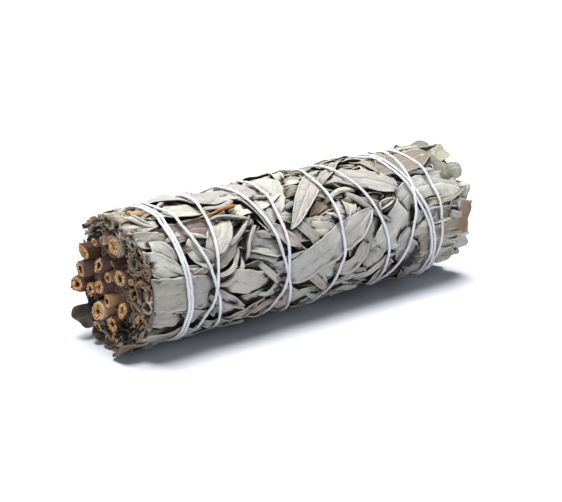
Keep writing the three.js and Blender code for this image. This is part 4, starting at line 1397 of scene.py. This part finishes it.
def build_cut_leaves(settings):
    """The cut edges of the leaves between the stems, with stalks, sheaths and leaf ends."""
    rng = seeded(31)
    shell = Shell()
    for line in cut_lines(rng, CUT_LEAVES):
        line = clear_of_stems(line, 0.3)
        far = np.linalg.norm(line, axis=1)
        line = line * np.minimum(1, (CUT_REACH - 0.9) / np.maximum(far, 1e-6))[:, None]
        line[:, 1] = np.maximum(line[:, 1], 0.5 - AXIS_HEIGHT)
        middle = line.mean(0)
        start = CUT_PLANE - 0.6 + set_back(*middle) + rng.gamma(1.2, 0.8)
        paler = smooth_step(9, 15, middle[1]) + 0.5 * smooth_step(14, 17, np.hypot(*middle))
        tints = OUTER_TINTS if rng.random() < 0.75 * paler else INNER_TINTS
        cut_sheet(shell, rng, line, start, rng.uniform(4, 7), leaf_tint(rng, chosen(rng, tints)))
    for middle, radius in stalk_places(rng, STALKS):
        add_stalk(shell, rng, middle, radius)
    for stem, low, high, gap, start in SHEATHS:
        aside, up, diameter, _ = STEMS[stem]
        around = np.radians(np.linspace(low, high, 18))
        out = diameter / 2 + gap + rng.uniform(-0.12, 0.12, 18)
        line = np.stack([aside + out * np.sin(around), up + out * np.cos(around)], 1)
        cut_sheet(shell, rng, line, CUT_END + start, 7, leaf_tint(rng, "olive"))
    for angle, radius, width, reach, lean, tint in FLAPS:
        angle = math.radians(angle)
        sheet = free_leaf(rng, -49, reach, angle, radius, width, "flat", tint, lean, 0.78, creases=2)
        add_leaf(shell, sheet, True, 0.6)
    material = leaf_material("cut_leaf", settings, 1.1, 0.5, settings.cut_rim_colour, 0.28)
    make_piece("cut_leaf_edges", shell, [material], ["sage_leaves"])


# ---- Stems ----


def bark_material(settings):
    """Ridged bark, with painted shade where it goes in between the leaves."""
    material, nodes = new_material("stem_bark")
    place = nodes.attribute("place")
    shape = nodes.parts(nodes.attribute("shape"))
    felt = felted(nodes, nodes.stretched(place, (0.35, 1, 1)), nodes.attribute("tint", "Color"), 1.0)
    ridges = nodes.noise(nodes.stretched(place, (0.25, 2.5, 1)), 1.6, 4.0, 0.65)
    worn = nodes.ramp(ridges, 0.5, 0.75)
    colour = nodes.laid_over(felt["Colour"], worn, 0.6, colour4(settings.bark_colour))
    # Painted shade on the bark deeper in between the leaves.
    colour = nodes.laid_over(colour, shape["Z"], 0.9, colour4(TINTS["bark_shade"]))
    finish_material(nodes, colour, ridges, 0.8, 0.4, Roughness=0.75, Specular_IOR_Level=0.3)
    return material


def wood_material(settings):
    """Cut wood: stained and cracked, with clean spots, darker round the pith and next to the bark."""
    material, nodes = new_material("cut_wood")
    place = nodes.attribute("place")
    shape = nodes.parts(nodes.attribute("shape"))
    felt = felted(nodes, nodes.stretched(place, (2.2, 2.2, 2.2)), colour4(settings.wood_colour), 1.1)
    pores = nodes.noise(place, 7.0, 3.0, 0.7)
    stained = nodes.noise(place, 1.6, 4.0, 0.7, 0.6)
    colour = felt["Colour"]
    for mask, low, high, share, other in (
        (stained, 0.53, 0.43, 1.0, colour4(settings.stain_colour)),
        (stained, 0.43, 0.33, 1.0, colour4(settings.pith_and_shade_colour)),
        (stained, 0.52, 0.60, 0.85, colour4(settings.pale_wood_colour)),
        (pores, 0.55, 0.72, 0.5, colour4(settings.pith_and_shade_colour, 2.0)),
        (shape["X"], 0.62, 0.34, 0.55, colour4(settings.stain_colour)),
        (shape["X"], 0.84, 0.96, 0.6, colour4(settings.bark_colour, 0.6)),
    ):
        colour = nodes.laid_over(colour, nodes.ramp(mask, low, high), share, other)
    finish_material(nodes, colour, pores, 1.0, 0.5, Roughness=0.6, Specular_IOR_Level=0.4)
    return material


def pith_material(settings):
    """The hollow in the middle of a stem: the pith's brown darkened to near black as painted shade."""
    material, nodes = new_material("pith")
    felt = felted(nodes, nodes.attribute("place"), colour4(settings.pith_and_shade_colour), 1.2)
    finish_material(nodes, felt["Colour"], felt["Height"], 0.8, 0.4, Roughness=0.95)
    return material


BARKS = [(0.10, 0.06, 0.045), (0.50, 0.38, 0.27), (0.34, 0.20, 0.11), (0.15, 0.10, 0.09), (0.42, 0.27, 0.15)]
LEANS = {22: 2.1, 23: 1.4}  # how far some stems lean out at the cut end


def build_stem(number, materials):
    """A stem with its bark, its cracked cut face and its pith hole."""
    aside, up, diameter, behind = STEMS[number]
    rng = seeded(100 + number)
    sides = 36
    around = np.linspace(0, FULL_TURN, sides, endpoint=False)
    lobes = 1 + sum(rng.uniform(0.01, 0.06) * np.sin(k * around + rng.uniform(0, 6)) for k in (2, 2, 3, 4, 5))
    ridges = 0.03 * np.sin(11 * around + rng.uniform(0, 6)) + rng.uniform(-0.025, 0.025, sides)
    start = CUT_END + behind + 0.15
    end = start + STEM_LENGTHS[0] + (STEM_LENGTHS[1] - STEM_LENGTHS[0]) * ((number * GOLDEN) % 1)
    hollow = 0.2 * rng.uniform(0.3, 1.3) if number else 0.03
    off = rng.uniform(-0.07, 0.07, 2) * diameter
    tilt = rng.uniform(-0.3, 0.3, 2)
    bark = np.array(BARKS[rng.integers(len(BARKS))]) * rng.uniform(0.95, 1.4)
    far = math.hypot(aside, up)
    lean = LEANS.get(number, 0.5 * smooth_step(10, 15, far))
    out = np.array([aside, up]) / max(far, 1)
    # each ring: distance from the middle as a share of the diameter, depth, roughness, material
    face = [
        (hollow * 0.35, 2.6, 0.0, 2),
        (hollow * 0.8, 2.4, 0.0, 2),
        (hollow * 0.9, 1.0, 0.03, 2),
        (hollow, 0.25, 0.1, 2),
        (hollow + 0.03, 0.02, 0.16, 1),
        (hollow + (0.42 - hollow) * 0.3, 0.2, 0.22, 1),
        (hollow + (0.42 - hollow) * 0.6, 0.0, 0.22, 1),
        (0.40, 0.16, 0.18, 1),
        (0.445, 0.0, 0.12, 1),
        (0.47, 0.14, 0.08, 0),
        (0.495, 0.02, 0.09, 0),
        (0.51, 0.22, 0.04, 0),
    ]
    rings, places, shapes, kinds = [], [], [], []

    def ring(along, radius, edge, dark, kind, centre=None):
        """Adds a ring, of the cut face if it has a centre and else of the bark."""
        leaning = lean * np.clip(1 - (along - start) / 12, 0, 1.2) ** 1.5
        a, b = radius * np.sin(around), radius * np.cos(around)
        place = along, around * diameter / 2
        if centre is not None:
            a, b = a + centre[0], b + centre[1]
            place = a * 1.3, b * 1.3
        rings.append(stacked(along, aside + a + out[0] * leaning, AXIS_HEIGHT + up + b + out[1] * leaning))
        places.append(stacked(*place, number * 3.7))
        shapes.append(np.broadcast_to((edge, 0, dark), (sides, 3)))
        kinds.append(kind)

    for share, depth, rough, kind in face:
        uneven = lobes if share > 0.2 else 1 + (lobes - 1) * 0.5
        radius = diameter * share * uneven * (1 + (ridges if share > 0.4 else 0))
        inside = max(0, 1 - share / 0.42)
        slope = (tilt[0] * np.sin(around) + tilt[1] * np.cos(around)) * radius
        along = np.maximum(start + depth + slope + rng.uniform(-1, 1, sides) * rough * 1.6, CUT_END - 0.9)
        ring(along, radius, share * 2, 0, kind, off * inside)
    for along in np.concatenate([start + np.arange(1, 11) * 0.8, np.linspace(start + 14, end, 6)]):
        taper = 1 + (STEM_TAPER - 1) * (along - start) / (end - start)
        knob = 1 + 0.04 * math.sin(along * 1.1 + number)
        # Painted shade on the bark, from 3.2 mm behind the cut face inwards.
        dark = float(np.clip((along - start - 3.2) / 4, 0, 1))
        ring(np.full(sides, along), diameter * 0.505 * taper * knob * lobes * (1 + ridges), 1, dark, 0)
    shell = Shell()
    shell.tube(np.array(rings), bark, np.array(places), np.array(shapes), kinds[1:])
    name = f"stem_{number + 1:02d}"
    make_piece(f"dried_{name}", shell, materials, [name])


# ---- Twig and brown leaves ----


def build_brown_leaves(settings):
    """The leaves of another colour, each let in between the others."""
    materials = [leaf_material("brown_leaf", settings, 0.6, 0.5)]
    for number, (along, angle, turn, length, width, outer, end, tint) in enumerate(BROWN_LEAVES):
        rng = seeded(200 + number)
        heights = np.full((ROWS, COLUMNS), outer - 0.75)
        half = length / 2
        leaf = (along - half, angle - turn, along + half, angle + turn, 0.3, width, "flat", tint, 0.12, end)
        sheet = lay_leaf(heights, rng, leaf)
        if number == RUSTY_LEAF:
            browned = smooth_step(0.66, 0.86, sheet["share"] + 0.12 * sheet["across"])[..., None]
            sheet["tint"] = blend(TINTS["olive"], TINTS["rust"], browned)
        sheet["radius"] = sheet["radius"] - 0.9 * read(string_press(), sheet["along"], sheet["arc"])
        shell = Shell()
        add_leaf(shell, sheet, free=True)
        name = f"brown_leaf_{number + 1}"
        make_piece(f"dried_{name}", shell, materials, [name])


# The twig's arms: their places along the bundle, angles and distances from the axis, the radius at both ends,
# and how bare of bark they are.
TWIG = [
    (
        ((-31.6, -29.6, -27.6, -25.2, -24.2), (30.5, 29.2, 28.6, 28.0, 28.4), (18.5, 18.7, 18.8, 18.8, 18.8)),
        (0.35, 0.62), 0.0,
    ),
    (
        ((-29.0, -32, -36, -40, -44), (29.0, 30.6, 31.4, 31.8, 32.2), (18.6, 18.6, 18.5, 18.4, 18.2)),
        (0.33, 0.22), 0.55,
    ),
]


def rod_rings(line, radius, sides, rng, rough):
    """Rings of points round a rough rod along a line."""
    tangent = unit(np.gradient(line, axis=0))
    side = unit(np.cross(tangent, [0.1, 0.2, 1.0]))
    around = np.linspace(0, FULL_TURN, sides, endpoint=False)
    radius = radius[:, None] * (1 + rng.uniform(-rough, rough, (len(line), sides)))
    return rings_round(line, side, np.cross(side, tangent), radius, around)


def build_twig(settings):
    """A forked twig that lies in the gap beside the broad leaf."""
    rng = seeded(9)
    shell = Shell()
    for stops, thickness, pale in TWIG:
        t = np.linspace(0, len(stops[0]) - 1, 22)
        along, angle, high = (np.interp(t, np.arange(len(values)), values) for values in stops)
        line = on_bundle(along, np.radians(angle), high)
        line += rng.uniform(-0.05, 0.05, line.shape)
        rings = rod_rings(line, np.linspace(*thickness, len(line)), 10, rng, 0.1)
        colour = blend(settings.twig_colour, TINTS["bare"], pale)
        shell.tube(rings, colour, stacked(along[:, None], np.arange(10)[None, :] * 0.4, 1.0), (0, 0, 0))
    material, nodes = new_material("twig_bark")
    felt = felted(nodes, nodes.attribute("place"), nodes.attribute("tint", "Color"), 1.4)
    finish_material(nodes, felt["Colour"], felt["Height"], 0.6, 0.3, Roughness=0.6, Specular_IOR_Level=0.3)
    make_piece("forked_twig", shell, [material], ["twig"])


# ---- String ----


def add_string(shell, settings, line, out, share=1.0, sides=12, flat=0.74):
    """Adds a two-strand string along a line, at a share of the string's thickness."""
    tangent = unit(np.gradient(line, axis=0))
    side = unit(np.cross(tangent, out))
    out = np.cross(side, tangent)
    far = walked(line)[:, None]
    around = np.linspace(0, FULL_TURN, sides, endpoint=False)[None, :]
    twist = FULL_TURN * far / (settings.lay / MM)
    lobe = np.abs(np.cos(around - twist))
    radius = settings.thickness / MM * share / 2 * (0.80 + 0.14 * lobe)
    radius = radius * (1 + 0.05 * np.sin(far * 0.7) + 0.03 * np.sin(far * 2.3 + around))
    rings = rings_round(line, side, out, radius, around, (0.88, flat))
    shell.tube(rings, settings.colour, stacked(far, (around - twist) * 0.5, lobe), (0, 0, 0))


def string_material(settings):
    """Matted cotton, with painted shade in the groove between its strands."""
    material, nodes = new_material("cotton")
    place = nodes.attribute("place")
    felt = felted(nodes, nodes.stretched(place, (0.8, 4.0, 0.5)), colour4(settings.colour), 0.35)
    # Painted shade in the groove between the strands.
    groove = nodes.ramp(nodes.parts(place)["Z"], 0.45, 0.05)
    colour = nodes.laid_over(felt["Colour"], groove, 0.22, colour4(settings.colour, 0.55))
    fibres = nodes.noise(nodes.stretched(place, (1.5, 6.0, 0.5)), 3.0, 4.0, 0.7)
    sheen = {"Sheen_Weight": 0.3, "Sheen_Roughness": 0.4}
    finish_material(nodes, colour, fibres, 0.6, 0.25, Roughness=0.85, Specular_IOR_Level=0.2, **sheen)
    return material


def sunk(winding, along):
    """How far the string sinks below its usual place where the leaves under it lie lower."""
    arc = winding * ARC_RADIUS
    resting = pressed(along, arc, read_highest(pile()[1], along, arc, 0.4)) + 0.4
    reach = 9
    padded = np.pad(resting, reach, mode="edge")
    resting = functools.reduce(np.maximum, [padded[i : i + len(resting)] for i in range(2 * reach + 1)])
    return np.clip(STRING_RADIUS - smoothed(resting, 2 * reach), -0.1, 1.1)


def build_string(settings):
    """The string in one length round the bundle, and its knot."""
    winding, along, radius = string_line()
    line = on_bundle(along, winding, radius - sunk(winding, along))
    far = walked(line)
    even = np.linspace(0, far[-1], int(far[-1] / 0.36))
    line = np.stack([np.interp(even, far, line[:, i]) for i in range(3)], 1)
    shell = Shell()
    add_string(shell, settings, line, outwards(np.interp(even, far, winding)), sides=14)
    add_knot(shell, settings)
    make_piece("wound_string", shell, [string_material(settings)], ["cotton_string"])


def add_knot(shell, settings):
    """The overhand knot that ties the first turn to the last, and its two ends."""
    _, along, _ = string_line()
    middle = (along[0] + along[-1]) / 2
    t = np.linspace(0, FULL_TURN, 90)
    size = 0.55
    a = size * (np.sin(t) + 2 * np.sin(2 * t))
    b = size * (np.cos(t) - 2 * np.cos(2 * t))
    c = -size * np.sin(3 * t)
    loop = on_bundle(middle + a, KNOT_ANGLE + b / STRING_RADIUS, STRING_RADIUS + 0.75 + c)
    add_string(shell, settings, loop, outwards(np.full(len(t), KNOT_ANGLE)), 0.85, flat=1.0)
    share = np.linspace(0, 1, 26)
    for reach, turn in ((-5.4, 0.22), (5.4, -0.22)):
        angle = KNOT_ANGLE + turn * share + 0.05 * np.sin(share * 5)
        line = on_bundle(middle + reach * share, angle, STRING_RADIUS + 0.5 - 0.25 * share)
        line[:, 2] = np.maximum(line[:, 2], TABLE_CLEARANCE + settings.thickness / MM / 2)
        add_string(shell, settings, line, outwards(angle), 1.4)


# ---- Stage ----

HORIZON = (0.905, 0.94, 1.0)
ROOM = (0.80, 0.89, 1.0)  # overhead
SURROUND = 1.34  # strength
LAMP_COLOUR = (1.0, 0.985, 0.955)
LAMP_SPREAD = math.radians(42)
OVERHEAD_WAY = (-0.03, -0.17, -1.0)
FRONT_WAY = (1.0, 0.4, -0.12)
CAMERA_TURN, CAMERA_RISE = math.radians(-40.12), math.radians(17.39)
CAMERA_AIM = (0.00022, 0, 0.01569)
CAMERA_AWAY = 0.5
SENSOR = 36
FOCAL_SHARE = 1735.5 / 562  # focal length over the width of the picture


def studio(settings):
    """A white surround up to a little above the horizon, and a darker room over it."""
    world = bpy.data.worlds.new("studio")
    world.use_nodes = True
    nodes = Nodes(world.node_tree)
    direction = nodes.add("ShaderNodeTexCoord").outputs["Generated"]
    height = nodes.add("ShaderNodeSeparateXYZ", {0: direction}).outputs["Z"]
    level = nodes.mix(nodes.ramp(height, 0.18, 0.42), colour4(HORIZON), colour4(ROOM, settings.fill))
    background = nodes.add("ShaderNodeBackground", {"Color": level, "Strength": SURROUND})
    nodes.add("ShaderNodeOutputWorld", {"Surface": background.outputs[0]})
    return world


def build_stage(settings):
    """The floor, the surround, two lights and the camera."""
    scene = bpy.context.scene
    scene.view_settings.view_transform = "Standard"
    scene.view_settings.look = "Medium High Contrast"
    half = settings.floor_size / 2
    mesh = bpy.data.meshes.new("floor")
    square = [(-half, -half, 0), (half, -half, 0), (half, half, 0), (-half, half, 0)]
    mesh.from_pydata(square, [], [(0, 1, 2, 3)])
    floor = bpy.data.objects.new("floor", mesh)
    scene.collection.objects.link(floor)
    material, nodes = new_material("pale_floor")
    colour = colour4(settings.floor_colour)
    shader = nodes.add("ShaderNodeBsdfPrincipled", {"Base Color": colour, "Roughness": 0.8})
    nodes.add("ShaderNodeOutputMaterial", {"Surface": shader.outputs["BSDF"]})
    mesh.materials.append(material)
    scene.world = studio(settings)
    add_lamp(scene, "overhead", settings.light, OVERHEAD_WAY)
    add_lamp(scene, "front", settings.front, FRONT_WAY)
    add_camera(scene)


def add_lamp(scene, name, energy, way):
    """A soft, slightly warm light that shines this way."""
    light = bpy.data.lights.new(name, "SUN")
    light.energy = energy
    light.color = LAMP_COLOUR
    light.angle = LAMP_SPREAD
    lamp = bpy.data.objects.new(name, light)
    lamp.rotation_mode = "QUATERNION"
    lamp.rotation_quaternion = mathutils.Vector(way).to_track_quat("-Z", "Y")
    scene.collection.objects.link(lamp)


def add_camera(scene):
    """A camera that looks down a little, past the cut end."""
    level = math.cos(CAMERA_RISE)
    back = math.sin(CAMERA_TURN) * level, -math.cos(CAMERA_TURN) * level, math.sin(CAMERA_RISE)
    back = mathutils.Vector(back)
    data = bpy.data.cameras.new("camera")
    data.sensor_width = SENSOR
    data.lens = FOCAL_SHARE * SENSOR
    data.clip_start, data.clip_end = 0.01, 20
    camera = bpy.data.objects.new("camera", data)
    camera.location = mathutils.Vector(CAMERA_AIM) + back * CAMERA_AWAY
    camera.rotation_mode = "QUATERNION"
    camera.rotation_quaternion = (-back).to_track_quat("-Z", "Y")
    scene.collection.objects.link(camera)
    scene.camera = camera


# ---- Operators and panel ----


class SAGE_OT_core(bpy.types.Operator):
    """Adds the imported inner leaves"""

    bl_idname = "sage.core"
    bl_label = "Packed leaves"

    def execute(self, context):
        build_core(context.scene.sage_leaf)
        return {"FINISHED"}


class SAGE_OT_leaves(bpy.types.Operator):
    """Lays the pressed leaves round the bundle"""

    bl_idname = "sage.leaves"
    bl_label = "Pressed leaves"

    def execute(self, context):
        build_leaves(context.scene.sage_leaf)
        return {"FINISHED"}


class SAGE_OT_tips(bpy.types.Operator):
    """Adds the leaf tips at the far end"""

    bl_idname = "sage.tips"
    bl_label = "Leaf tips"

    def execute(self, context):
        build_tips(context.scene.sage_leaf)
        return {"FINISHED"}


class SAGE_OT_cut_leaves(bpy.types.Operator):
    """Adds the cut leaf edges between the stems"""

    bl_idname = "sage.cut_leaves"
    bl_label = "Cut leaves"

    def execute(self, context):
        build_cut_leaves(context.scene.sage_leaf)
        return {"FINISHED"}


class SAGE_OT_brown_leaves(bpy.types.Operator):
    """Adds the three leaves of another colour"""

    bl_idname = "sage.brown_leaves"
    bl_label = "Brown leaves"

    def execute(self, context):
        build_brown_leaves(context.scene.sage_leaf)
        return {"FINISHED"}


class SAGE_OT_stems(bpy.types.Operator):
    """Adds the cut stems"""

    bl_idname = "sage.stems"
    bl_label = "Stems"

    def execute(self, context):
        settings = context.scene.sage_stem
        materials = [bark_material(settings), wood_material(settings), pith_material(settings)]
        for number in range(len(STEMS)):
            build_stem(number, materials)
        return {"FINISHED"}


class SAGE_OT_twig(bpy.types.Operator):
    """Adds the loose forked twig"""

    bl_idname = "sage.twig"
    bl_label = "Twig"

    def execute(self, context):
        build_twig(context.scene.sage_stem)
        return {"FINISHED"}


class SAGE_OT_string(bpy.types.Operator):
    """Winds the cotton string round the bundle and knots it"""

    bl_idname = "sage.string"
    bl_label = "Cotton string"

    def execute(self, context):
        build_string(context.scene.sage_string)
        return {"FINISHED"}


class SAGE_OT_stage(bpy.types.Operator):
    """Adds the floor, the lights and the camera"""

    bl_idname = "sage.stage"
    bl_label = "Stage"

    def execute(self, context):
        build_stage(context.scene.sage_stage)
        return {"FINISHED"}


OPERATORS = [
    SAGE_OT_core,
    SAGE_OT_leaves,
    SAGE_OT_tips,
    SAGE_OT_cut_leaves,
    SAGE_OT_brown_leaves,
    SAGE_OT_stems,
    SAGE_OT_twig,
    SAGE_OT_string,
    SAGE_OT_stage,
]
SETTINGS = {
    "sage_leaf": SageLeafSettings,
    "sage_stem": SageStemSettings,
    "sage_string": SageStringSettings,
    "sage_stage": SageStageSettings,
}


class SAGE_PT_bundle(bpy.types.Panel):
    """Lists the pieces of the bundle"""

    bl_idname = "SAGE_PT_bundle"
    bl_label = "Sage bunch"
    bl_space_type = "VIEW_3D"
    bl_region_type = "UI"
    bl_category = "Sage"

    def draw(self, context):
        for name, kind in SETTINGS.items():
            box = self.layout.box()
            for setting in kind.__annotations__:
                box.prop(getattr(context.scene, name), setting)
        for operator in OPERATORS:
            self.layout.operator(operator.bl_idname)


def register():
    for kind in (*SETTINGS.values(), *OPERATORS, SAGE_PT_bundle):
        bpy.utils.register_class(kind)
    for name, kind in SETTINGS.items():
        setattr(bpy.types.Scene, name, bpy.props.PointerProperty(type=kind))


def unregister():
    for name in SETTINGS:
        delattr(bpy.types.Scene, name)
    for kind in (SAGE_PT_bundle, *OPERATORS[::-1], *reversed(SETTINGS.values())):
        bpy.utils.unregister_class(kind)


def corners(box):
    return [list(corner) for corner in box]


def main():
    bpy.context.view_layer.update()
    register()
    for operator in OPERATORS:
        family, name = operator.bl_idname.split(".")
        getattr(getattr(bpy.ops, family), name)()


if __name__ == "__main__":
    main()
